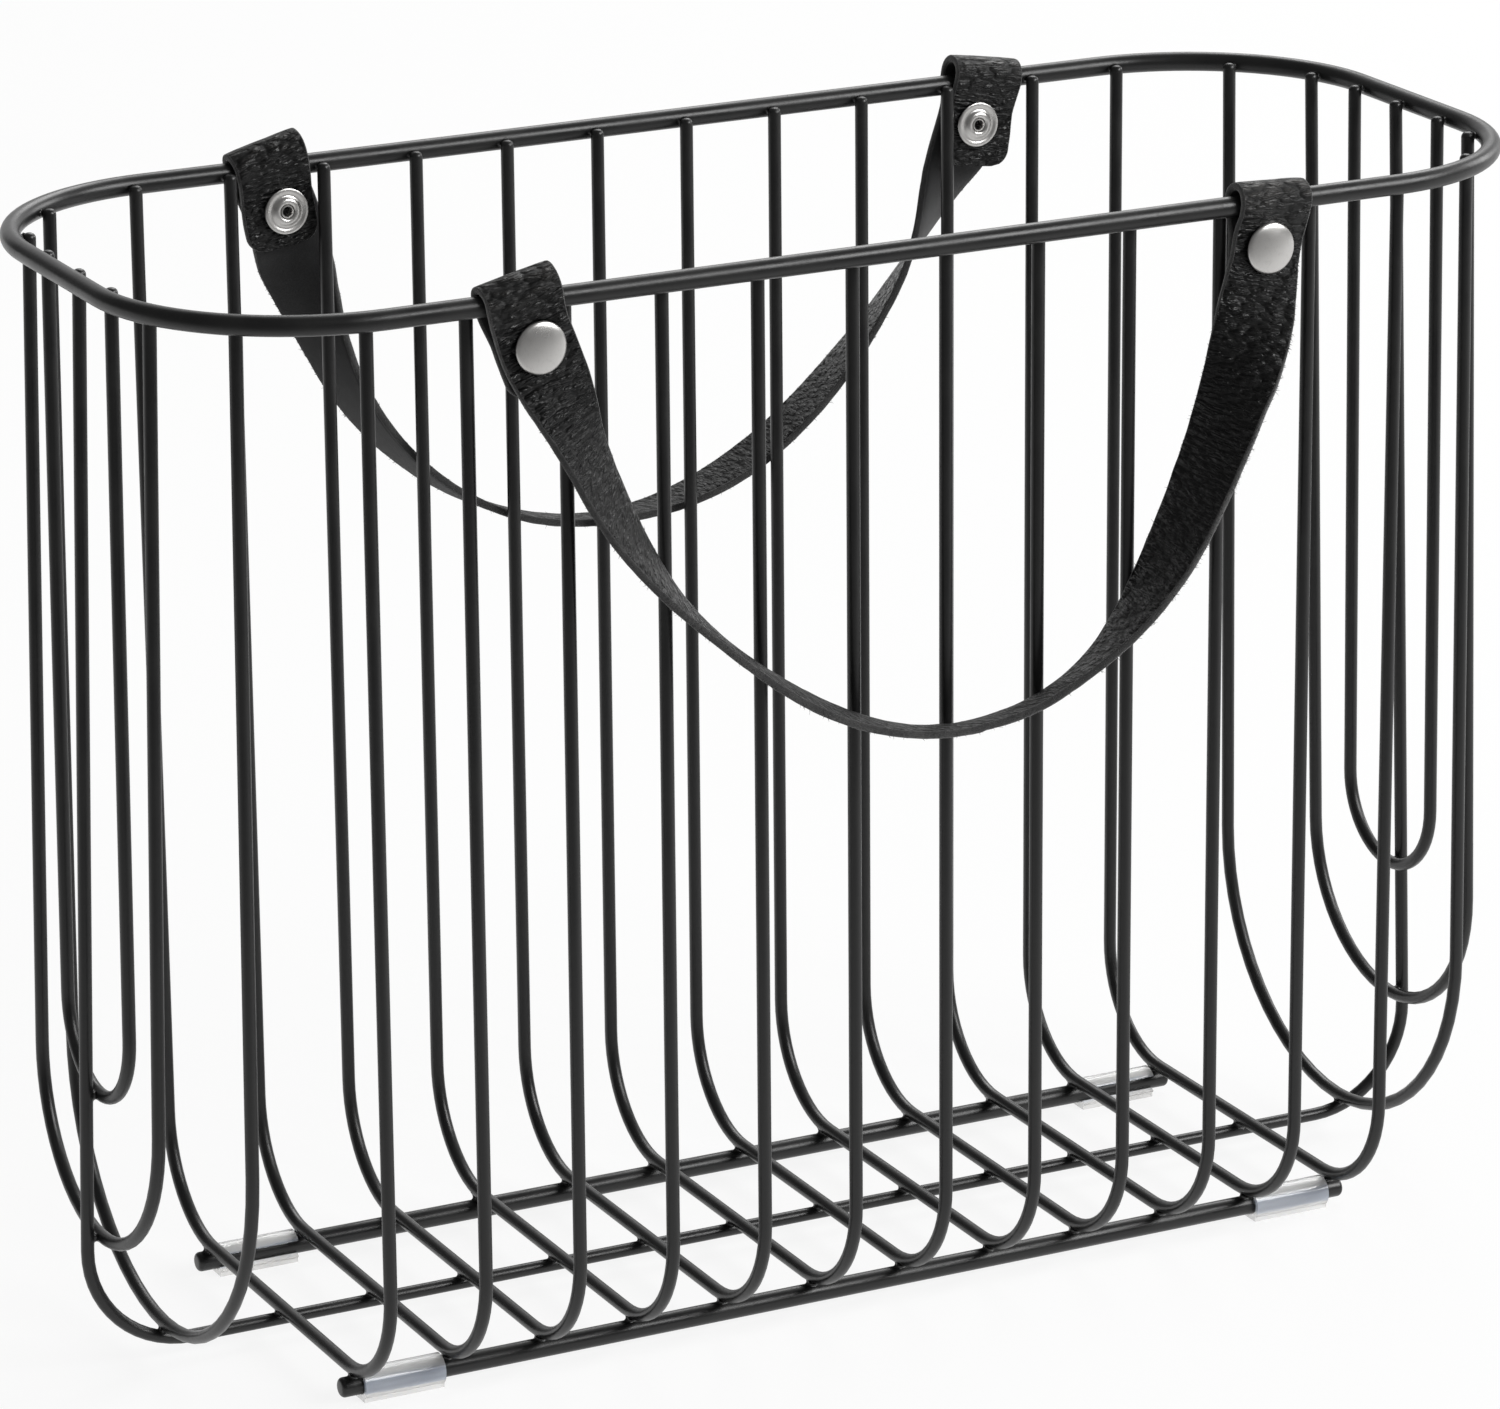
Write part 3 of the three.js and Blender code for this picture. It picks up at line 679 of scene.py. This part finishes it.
def addKeel():
    bm = bmesh.new()
    low = keelSide + wires["keelBulge"] / (hoopTop - keelBendTop) * wires["keelBend"]
    corners = [Vector((-keelTop, 0, hoopTop)), Vector((-low, 0, keelHeight)),
               Vector((low, 0, keelHeight)), Vector((keelTop, 0, hoopTop))]
    points = bentWire(corners, wires["keelBend"], wires["bendSteps"])
    addRings(bm, tubeRings(points, wires["hoop"], wires["wireSides"], rounding=wires["hoopRound"]))
    for way in (-1, 1):
        addWeld(bm, Vector((way * rimX, 0, rimHeight)), y, wires["rim"],
                Vector((way * keelTop, 0, rimHeight)), z, wires["hoop"], weld["above"])
    finishPiece(bm, "keelWire", "basket", [powderCoat], "wire", "keel")


def addRails():
    half = lastHoop + wires["railOverhang"]
    for row, side in (("front", -1), ("back", 1)):
        bm = bmesh.new()
        points = [Vector((way * half, side * railY, railHeight)) for way in (-1, 0, 1)]
        addRings(bm, tubeRings(points, wires["rail"], wires["rimSides"], rounding=wires["railRound"]))
        finishPiece(bm, "railWire." + row, "basket", [powderCoat], "wire", "rail_" + row)


addRim()
addHoops()
addKeel()
addRails()
print("wires and welds made")

# Clear clips: slit tubes on flat soles, snapped over the rails. The slit, and the angle
# from which an edge is rounded, are in degrees.
clip = {
    "outer": 3.9 * mm, "inner": 2.8 * mm, "sole": 5.2 * mm, "slit": 66, "length": 21.1 * mm,
    "steps": 26, "lipSteps": 4, "rounding": 0.18 * mm, "roundAbove": 35, "roundSteps": 3,
}


def arcPoints(radius, start, stop, steps):
    turns = [start + (stop - start) * step / steps for step in range(steps + 1)]
    return [(radius * math.cos(turn), radius * math.sin(turn)) for turn in turns]


def addClips():
    slit = math.radians(clip["slit"] / 2)
    sole = math.acos(clip["sole"] / 2 / clip["outer"])
    outline = arcPoints(clip["outer"], slit, math.pi + sole, clip["steps"])
    outline += [(-clip["sole"] / 2, -railHeight), (clip["sole"] / 2, -railHeight)]
    outline += arcPoints(clip["outer"], -sole, -slit, clip["lipSteps"])
    outline += arcPoints(clip["inner"], -slit, slit - 2 * math.pi, clip["steps"])
    for row, side in (("front", -1), ("back", 1)):
        for end, way in (("left", -1), ("right", 1)):
            bm = bmesh.new()
            middle = way * (lastHoop - pitch / 2)
            rings = []
            for along in (middle - clip["length"] / 2, middle + clip["length"] / 2):
                rings.append([Vector((along, side * (railY - across), railHeight + rise))
                              for across, rise in outline])
            addRings(bm, rings)
            sharp = [edge for edge in bm.edges if edge.calc_face_angle() > math.radians(clip["roundAbove"])]
            bmesh.ops.bevel(bm, geom=sharp, offset=clip["rounding"], segments=clip["roundSteps"], profile=0.5,
                            affect="EDGES")
            name = f"{row}_{end}"
            finishPiece(bm, "clearClip." + name, "basket", [vinyl], "clips", "clip_" + name)


addClips()
print("clips made")

# Leather straps. Each is one strip: a tail inside the basket, a fold over the rim, an outer
# layer that the rivet holds to the tail, and a free stretch that hangs and twists.
strap = {
    "width": 19 * mm, "thickness": 2 * mm, "layerGap": 0.6 * mm, "rimFit": 0.35 * mm, "hoopGap": 0.5 * mm,
    "rivetBay": 2, "rivetShift": 2.8 * mm, "rivetDrop": 10.6 * mm, "freeFrom": 3.5 * mm,
    "tailCorner": 4.5 * mm, "turnWithin": 13 * mm, "closeFrom": 0.8, "closeWithin": 8.5 * mm,
    "edgeRound": 0.4 * mm, "crown": 0.12 * mm,
    "ripple": 0.1 * mm, "rippleLength": 3.2 * mm, "rippleWidth": 5 * mm, "waver": 0.16 * mm,
    "waverLength": 6 * mm, "dimple": 0.3 * mm, "dimpleReach": 7 * mm, "dimpleThinner": 0.08,
    "wearAndHighlightPast": 1 * mm, "wearAndHighlightReach": 5 * mm, "leftWearAndHighlight": 0.55, "grainApart": 0.05,
    "endStep": 0.6 * mm, "turnStep": 0.5 * mm, "fineStep": 0.02 * mm, "hangSteps": 84, "fineSteps": 400,
    "acrossSteps": 14, "edgeSteps": 6,
}
# Each end: fold tilt and the slants of both layers from upright in degrees, the tail's length past
# the rivet, the pulls that shape the hang, and the twist from the rivet to the lowest point.
hangs = {
    "front": {
        "side": -1, "drop": 117.2 * mm, "shift": 10.5 * mm, "seed": 3.7,
        -1: {"tilt": 12.5, "slant": 20.5, "tailSlant": 19.5, "tailPast": 11 * mm, "turnWithin": 6 * mm,
             "startPull": 36 * mm, "bow": (93 * mm, 57 * mm), "lowPull": 48 * mm,
             "twist": (0, 36, 48, 82, 86, 106)},
        1: {"tilt": 3, "slant": 10.5, "tailSlant": 2, "tailPast": 20 * mm, "startPull": 7.2 * mm,
            "bow": (63 * mm, 55 * mm), "lowPull": 59 * mm, "twist": (0, 32, 66, 81, 113, 106)},
    },
    "back": {
        "side": 1, "drop": 104.3 * mm, "shift": -5 * mm, "seed": 9.1,
        -1: {"tilt": 14.5, "slant": 19.5, "tailSlant": 8.5, "tailPast": 8.9 * mm, "startPull": 58 * mm,
             "bow": (77 * mm, 56 * mm), "lowPull": 59 * mm, "twist": (0, 36, 72, 83, 86, 78)},
        1: {"tilt": 9, "slant": 17, "tailSlant": 7, "tailPast": 11 * mm, "startPull": 54 * mm,
            "bow": (75 * mm, 55 * mm), "lowPull": 59 * mm, "twist": (0, 32, 64, 82, 86, 78)},
    },
}
# The twist's places along each half of the hang, and how it is evened out between them
knotPlaces = (0, 0.1, 0.25, 0.5, 0.75, 1)
evenOffsets = (-0.06, -0.03, 0, 0.03, 0.06)
evenStart = 0.15
foldRadius = wires["rim"] + strap["rimFit"] + strap["thickness"] / 2
layer = (strap["layerGap"] + strap["thickness"]) / 2
rivetX = lastHoop - strap["rivetBay"] * pitch + pitch / 2 - strap["rivetShift"]
hoopFront = hoopY + wires["hoop"]
standOff = rimY + layer - hoopFront - strap["hoopGap"]
halfArc = foldRadius * math.pi / 2


def smooth(value):
    value = min(1, max(0, value))
    return value * value * (3 - 2 * value)


def downWay(end, angle):
    return Vector((-end * math.sin(angle), 0, -math.cos(angle)))


def acrossWay(end, angle):
    return Vector((-end * math.cos(angle), 0, math.sin(angle)))


def rivetPoint(side, end):
    return Vector((end * rivetX, side * rimY, rimHeight - strap["rivetDrop"]))


class FoldedEnd:
    # One end of a strap. Its layers leave the fold at the fold's tilt and turn to their own slants.
    def __init__(self, side, end, shape):
        self.side, self.end, self.tilt = side, end, math.radians(shape["tilt"])
        self.slants = {1: math.radians(shape["slant"]), -1: math.radians(shape["tailSlant"])}
        self.turnWithin = shape.get("turnWithin", strap["turnWithin"])
        self.lift = strap["width"] / 2 * math.sin(self.tilt)
        drop, aside, self.rivetDown = 0, 0, 0
        while drop < strap["rivetDrop"] + self.lift:
            angle = self.angle(1, self.rivetDown)
            drop += math.cos(angle) * strap["fineStep"]
            aside += math.sin(angle) * strap["fineStep"]
            self.rivetDown += strap["fineStep"]
        self.top = rivetPoint(side, end) + z * drop + x * end * aside
        self.tailAlong = halfArc + self.rivetDown + shape["tailPast"]
        self.freeAlong = halfArc + self.rivetDown + strap["freeFrom"]

    def angle(self, way, down):
        return self.tilt + (self.slants[way] - self.tilt) * smooth(down / self.turnWithin)

    def middle(self, way, down):
        steps = max(1, math.ceil(down / strap["turnStep"]))
        size = down / steps
        return self.top + sum((downWay(self.end, self.angle(way, (step + 0.5) * size)) * size
                               for step in range(steps)), Vector())

    def point(self, along, across, proud):
        # Along is measured over the leather from the top of the fold, and it is negative on the tail
        way = 1 if along > 0 else -1
        bend = min(math.pi / 2, max(-math.pi / 2, along / foldRadius))
        down = max(0, abs(along) - halfArc)
        share = min(1, max(0, (down - self.lift * strap["closeFrom"]) / strap["closeWithin"]))
        closing = (share + smooth(share)) / 2
        out = foldRadius * math.sin(bend) * (1 - closing) + way * layer * closing
        angle = self.angle(way, down)
        place = self.middle(way, down) - downWay(self.end, angle) * (foldRadius + proud) * math.cos(bend)
        place += acrossWay(self.end, angle) * across
        place.y += self.side * (out + proud * math.sin(bend))
        return place


def betweenKnots(knots, share):
    share = min(1, max(0, share))
    index = max(number for number in range(len(knotPlaces) - 1) if knotPlaces[number] <= share)
    low, high = knotPlaces[index:index + 2]
    return knots[index] + (knots[index + 1] - knots[index]) * (share - low) / (high - low)


def twistAt(knots, share):
    def even(place):
        return sum(betweenKnots(knots, place + off) for off in evenOffsets) / len(evenOffsets)

    return math.radians(even(share) - even(0) * max(0, 1 - share / evenStart))


def hangPath(hang):
    # Places along the free stretch from left to right, each with the strip's twist there
    side = hang["side"]
    lowPoint = Vector((hang["shift"], 0, rimHeight - hang["drop"]))
    rows = []
    for end in (-1, 1):
        shape = hang[end]
        way = downWay(end, math.radians(shape["slant"]))
        start = rivetPoint(side, end) + way * strap["freeFrom"]
        start.y = 0
        bow = x * end * shape["bow"][0] + z * shape["bow"][1]
        controls = [start, start + way * shape["startPull"], lowPoint + bow,
                    lowPoint + x * end * shape["lowPull"], lowPoint]
        fine = [bezier(controls, step / strap["fineSteps"]) for step in range(strap["fineSteps"] + 1)]
        lengths = [0]
        for first, second in zip(fine, fine[1:]):
            lengths.append(lengths[-1] + (second - first).length)
        row, index = [], 0
        for step in range(strap["hangSteps"] + 1):
            free = step / strap["hangSteps"]
            while index < strap["fineSteps"] - 1 and lengths[index + 1] < free * lengths[-1]:
                index += 1
            share = (free * lengths[-1] - lengths[index]) / (lengths[index + 1] - lengths[index])
            twist = twistAt(shape["twist"], free)
            reach = strap["width"] / 2 * math.sin(twist) + standOff * max(0, math.cos(twist))
            point = fine[index].lerp(fine[index + 1], share)
            point.y = side * (hoopFront + strap["hoopGap"] + reach)
            row.append((point, twist))
        rows.append(row)
    return rows[0] + rows[1][-2::-1]


# The section's finishes, and the middles of its four sides by their number in the list of points
grainSide, fleshSide, cutSide = range(3)
grainMiddle = strap["acrossSteps"] // 2
upperMiddle = strap["acrossSteps"] + strap["edgeSteps"] // 2
fleshMiddle = strap["acrossSteps"] + strap["edgeSteps"] + grainMiddle
lowerMiddle = upperMiddle + strap["acrossSteps"] + strap["edgeSteps"]


def crossSection():
    # Points round the strip's section, from the lower edge over the grain side and back under
    # the flesh side, each with the finish of the face that follows it
    half, thick, turn = strap["width"] / 2, strap["thickness"] / 2, strap["edgeRound"]
    shares = [-1 + 2 * step / strap["acrossSteps"] for step in range(strap["acrossSteps"] + 1)]
    edge = [(half - turn * 0.35, thick - turn * 0.45), (half, thick - turn * 1.3), (half * 1.004, 0),
            (half, turn - thick), (half - turn * 0.5, turn * 0.35 - thick)]
    points = [(share * (half - turn), thick - strap["crown"] * abs(share) ** 6, grainSide)
              for share in shares]
    points += [(across, proud, cutSide) for across, proud in edge]
    points += [(-share * (half - turn * 1.2), -thick, fleshSide) for share in shares]
    points += [(-across, proud, cutSide) for across, proud in reversed(edge)]
    for middle in (upperMiddle, lowerMiddle):
        last = middle - strap["edgeSteps"] // 2
        points[last] = points[last][:2] + (cutSide,)
    return points


def addStrap(row, hang):
    side, seed = hang["side"], hang["seed"]
    section = crossSection()
    rings, places = [], []

    def uneven(travel, across, proud):
        spot = Vector((travel / strap["rippleLength"], across / strap["rippleWidth"], seed + (proud > 0)))
        ripple = noise.noise(spot) * strap["ripple"]
        waver = noise.noise(Vector((travel / strap["waverLength"], seed, math.copysign(1, across))))
        return ripple, waver * strap["waver"] * abs(across) / (strap["width"] / 2)

    def endRing(folded, along, travel):
        tip = folded.tailAlong + along
        corner = strap["tailCorner"]
        lessWide = corner - math.sqrt(max(0, corner ** 2 - (corner - tip) ** 2)) if tip < corner else 0
        down = abs(along) - halfArc - folded.rivetDown
        ring = []
        for across, proud, _ in section:
            wide = across * (1 - lessWide / (strap["width"] / 2))
            ripple, waver = uneven(travel, across, proud)
            near = math.exp(-(down ** 2 + across ** 2) / strap["dimpleReach"] ** 2)
            push = ripple * (1 - near) - strap["dimple"] * near
            thinner = 1 - strap["dimpleThinner"] * near
            ring.append(folded.point(along, wide + waver, proud * thinner + push))
        return ring

    def addEnd(folded, start):
        length = folded.tailAlong + folded.freeAlong
        count = round(length / strap["endStep"])
        for step in range(count)[::-folded.end]:
            along = length * step / count - folded.tailAlong
            travel = start - folded.end * along
            # The grain is stretched smooth and rubbed where the leather folds over the rim; the same mask
            # also paints a lighter painted highlight there, weaker on the left ends
            wearAndHighlight = math.exp(-((along - strap["wearAndHighlightPast"]) / strap["wearAndHighlightReach"]) ** 2)
            rings.append(endRing(folded, along, travel))
            places.append((travel, wearAndHighlight * (1 if folded.end > 0 else strap["leftWearAndHighlight"])))

    left, right = (FoldedEnd(side, end, hang[end]) for end in (-1, 1))
    addEnd(left, 0)
    travel = left.freeAlong
    hung = hangPath(hang)
    spots = [point for point, _ in hung]
    tangents, _ = frameAlong(spots)
    for before, (point, twist), tangent in zip(spots[:1] + spots, hung, tangents):
        travel += (point - before).length
        flat = Vector((tangent.x, 0, tangent.z)).normalized()
        upward = flat.cross(y).normalized()
        inward = upward.cross(flat) * -side
        across = upward * math.cos(twist) + inward * math.sin(twist)
        across = (across - tangent * across.dot(tangent)).normalized()
        normal = tangent.cross(across) * -side
        ring = []
        for wide, proud, _ in section:
            ripple, waver = uneven(travel, wide, proud)
            ring.append(point + across * (wide + waver) + normal * (proud + ripple))
        rings.append(ring)
        places.append((travel, 0))
    addEnd(right, travel + right.freeAlong)

    bm = bmesh.new()
    placeLayer = bm.verts.layers.float_vector.new("strapPlace")
    wearAndHighlightLayer = bm.verts.layers.float.new("strapWearAndHighlight")
    loops, faces = addRings(bm, rings)
    for loop, (far, wearAndHighlight) in zip(loops, places):
        for vert, (across, proud, _) in zip(loop, section):
            vert[placeLayer] = Vector((far, across, proud + side * strap["grainApart"]))
            vert[wearAndHighlightLayer] = wearAndHighlight
    for index, face in enumerate(faces):
        face.material_index = section[index % len(section)][2]
    for face in faces[-2:]:
        face.material_index = cutSide
    addFibres(bm, loops, placeLayer, seed)
    finishPiece(bm, "leatherStrap." + row, "handle_" + row, [grainLeather, suede, cutEdge], "leather",
                "strap_" + row, sharpAngle=60)
    print("strap", row, "free length", round((travel - left.freeAlong) / mm), "mm")


# Loose fibres on the cut edges, most of them on the lower one. Their ways are outward, along the
# strap and to the flesh side. They are short at folds and rivets, and full along the free stretch.
fibre = {
    "count": 3600, "length": 1.15 * mm, "width": 0.065 * mm, "lengths": (0.25, 1), "shortness": 1.5,
    "onLower": 0.72, "offsets": (-2, -1, 0, 1, 2), "ways": ((0.2, 1), (-0.8, 0.8), (-0.3, 1)),
    "bends": (0.35, 0.3), "rings": (0, 0.4, 0.75, 1), "taper": 0.75, "sunk": 0.1 * mm,
    "fromEnds": 4, "atFolds": 0.14, "freeFrom": 80, "freeWithin": 35,
}


def addFibres(bm, loops, placeLayer, seed):
    dice = random.Random(seed)
    for _ in range(fibre["count"]):
        row = dice.randrange(fibre["fromEnds"], len(loops) - fibre["fromEnds"])
        loop, after = loops[row], loops[row + 1]
        edge = lowerMiddle if dice.random() < fibre["onLower"] else upperMiddle
        across = edge + dice.choice(fibre["offsets"])
        root = loop[across].co.lerp(after[across].co, dice.random())
        outward = (loop[edge].co - loop[lowerMiddle + upperMiddle - edge].co).normalized()
        along = (after[edge].co - loop[edge].co).normalized()
        proud = outward.cross(along)
        flesh = (loop[fleshMiddle].co - loop[grainMiddle].co).normalized()
        ways = [way * dice.uniform(*span) for way, span in zip((outward, along, flesh), fibre["ways"])]
        way = sum(ways, Vector()).normalized()
        free = smooth((min(row, len(loops) - row) - fibre["freeFrom"]) / fibre["freeWithin"])
        length = fibre["length"] * dice.uniform(*fibre["lengths"]) ** fibre["shortness"]
        length *= fibre["atFolds"] + (1 - fibre["atFolds"]) * free
        sway, rise = (dice.uniform(-most, most) for most in fibre["bends"])
        bend = (along * sway + proud * rise) * length
        breadth = way.cross(proud).normalized() * fibre["width"]
        depth = way.cross(breadth).normalized() * fibre["width"]
        rings = []
        for share in fibre["rings"]:
            middle = root + way * (length * share - fibre["sunk"]) + bend * share ** 2
            size = 1 - fibre["taper"] * share
            rings.append([middle + corner * size for corner in (breadth, depth, -breadth - depth)])
        fibreLoops, fibreFaces = addRings(bm, rings)
        for vert in sum(fibreLoops, []):
            vert[placeLayer] = loop[edge][placeLayer]
        for face in fibreFaces:
            face.material_index = cutSide


for row, hang in hangs.items():
    addStrap(row, hang)
print("straps made")

# Rivets: domed caps outside, rolled rings inside. Outlines are radius and height in mm,
# and so is the least radius of a ring of points.
rivet = {"seat": 2.8 * mm, "sides": 56, "leastRadius": 0.02}
capShape = [  # from the post's bore up over the dome
    (0, -2.6), (1.15, -2.6), (1.2, -6.35), (1.35, -6.6), (1.62, -6.55), (1.7, -6.3), (1.7, -0.1), (5.2, -0.1),
    (5.9, 0.02), (6.28, 0.2), (6.42, 0.45), (6.38, 0.7), (6.24, 0.9), (6.0, 1.08), (5.7, 1.22), (5.3, 1.35),
    (4.8, 1.47), (4.2, 1.6), (3.5, 1.73), (2.7, 1.84), (1.8, 1.93), (0.9, 1.98), (0, 2.0),
]
ringShape = [
    (1.78, -0.05), (5.35, -0.05), (5.68, 0.08), (5.8, 0.3), (5.7, 0.55), (5.35, 0.7), (4.9, 0.66),
    (4.55, 0.5), (4.2, 0.42), (3.8, 0.5), (3.5, 0.78), (3.2, 1.08), (2.8, 1.26), (2.4, 1.28),
    (2.05, 1.16), (1.85, 0.95), (1.78, 0.6),
]


def addTurned(name, shape, middle, outward, body, node, closed):
    bm = bmesh.new()
    rings = []
    for radius, rise in shape:
        ring = []
        for step in range(rivet["sides"]):
            angle = 2 * math.pi * step / rivet["sides"]
            across = (x * math.cos(angle) + z * math.sin(angle)) * max(radius, rivet["leastRadius"]) * mm
            ring.append(middle + across + outward * rise * mm)
        rings.append(ring)
    addRings(bm, rings, closed=closed)
    finishPiece(bm, name, body, [nickel], "rivets", node)


for row, hang in hangs.items():
    for end, way in (("left", -1), ("right", 1)):
        name = f"{row}_{end}"
        outward = y * hang["side"]
        middle = rivetPoint(hang["side"], way)
        for part, shape, facing in (("Cap", capShape, outward), ("Ring", ringShape, -outward)):
            addTurned(f"rivet{part}.{name}", shape, middle + facing * rivet["seat"], facing,
                      "handle_" + row, f"{part.lower()}_{name}", closed=shape is ringShape)
print("rivets made")

# Floor, world and lamps. Seen directly, floor and world are white. Gloss sees a pale backdrop behind
# the basket, and a dimmer room in front of it and to its left.
stage = {
    "floorSize": 40, "floorParts": 8, "floorColour": (0.9, 0.9, 0.895, 1),
    "cloudColour": (0.909, 0.909, 0.90395, 1), "cloudScale": 3,
    "floorWhite": 0.86, "floorDim": 0.2, "dimFrom": -0.95, "dimTo": -0.02,
    "worldColour": (1, 1, 1, 1), "worldStrength": 0.36, "roomStrength": 0.16, "backdropStrength": 0.8,
    "backdropFrom": -0.15, "backdropFull": 0.4, "rightBrighter": 0.55, "leftOf": 0.25, "leftDimmer": 2.2,
}
lamps = [  # name, place, aim, width, height, watts
    ("keyLamp", (1.75, -1.9, 1.75), (0, 0, 0.15), 2.3, 1.3, 76),
    ("backLamp", (1.5, 2.0, 2.2), (0, 0, 0.15), 1.6, 1.6, 28),
    ("sideLamp", (2.7, 0.5, 1.1), (0, 0, 0.15), 1.2, 1.2, 16),
]


def seenBy(tree):
    # Masks for what is seen directly, also through the clips, and for what gloss mirrors
    path = addNode(tree, "ShaderNodeLightPath").outputs
    return calc(tree, "MAXIMUM", path["Is Camera Ray"], path["Is Transmission Ray"]), path["Is Glossy Ray"]


def addFloor():
    bm = bmesh.new()
    bmesh.ops.create_grid(bm, x_segments=stage["floorParts"], y_segments=stage["floorParts"],
                          size=stage["floorSize"] / 2)
    mesh = bpy.data.meshes.new("paleFloor")
    bm.to_mesh(mesh)
    bm.free()
    material, tree, shader = newMaterial("paleFloor", {"Roughness": 0.9, "Specular IOR Level": 0.1})
    place = objectPlace(tree)
    cloud = remap(tree, fineNoise(tree, place, stage["cloudScale"], detail=3.0), *noiseMiddle)
    colour = mixColour(tree, cloud, stage["floorColour"], stage["cloudColour"])
    tree.links.new(colour, shader.inputs["Base Color"])
    spot = splitVector(tree, place)
    depth = addScaled(tree, spot["Y"], (spot["X"], stage["rightBrighter"]))
    near = remap(tree, depth, stage["dimFrom"], stage["dimTo"], stage["floorDim"], 1.0)
    seen, glossy = seenBy(tree)
    white = {"Color": (1, 1, 1, 1), "Strength": between(tree, seen, near)}
    white = addNode(tree, "ShaderNodeEmission", white).outputs[0]
    share = calc(tree, "MULTIPLY", calc(tree, "MAXIMUM", seen, glossy), stage["floorWhite"])
    both = addNode(tree, "ShaderNodeMixShader", {0: share, 1: shader.outputs[0], 2: white}).outputs[0]
    tree.links.new(both, tree.nodes["Material Output"].inputs["Surface"])
    mesh.materials.append(material)
    floor = bpy.data.objects.new("paleFloor", mesh)
    bpy.context.scene.collection.objects.link(floor)


def addWorld():
    world = bpy.data.worlds.new("studioWorld")
    bpy.context.scene.world = world
    world.use_nodes = True
    tree = world.node_tree
    background = tree.nodes["Background"]
    background.inputs["Color"].default_value = stage["worldColour"]
    way = splitVector(tree, addNode(tree, "ShaderNodeTexCoord").outputs["Generated"])
    left = calc(tree, "MINIMUM", calc(tree, "SUBTRACT", way["X"], stage["leftOf"]), 0.0)
    depth = addScaled(tree, way["Y"], (left, stage["leftDimmer"]), (way["X"], stage["rightBrighter"] / 2))
    backdrop = remap(tree, depth, stage["backdropFrom"], stage["backdropFull"],
                     stage["roomStrength"], stage["backdropStrength"])
    seen, glossy = seenBy(tree)
    strength = between(tree, glossy, stage["worldStrength"], backdrop)
    tree.links.new(between(tree, seen, strength), background.inputs["Strength"])


def addLamps():
    for name, place, aim, width, height, watts in lamps:
        data = bpy.data.lights.new(name, "AREA")
        data.shape, data.size, data.size_y, data.energy = "ELLIPSE", width, height, watts
        lamp = bpy.data.objects.new(name, data)
        lamp.location = place
        lamp.rotation_euler = (Vector(aim) - Vector(place)).to_track_quat("-Z", "Y").to_euler()
        bpy.context.scene.collection.objects.link(lamp)


addFloor()
addWorld()
addLamps()
bpy.context.scene.view_settings.view_transform = "Standard"
print("stage set")

bpy.context.view_layer.update()
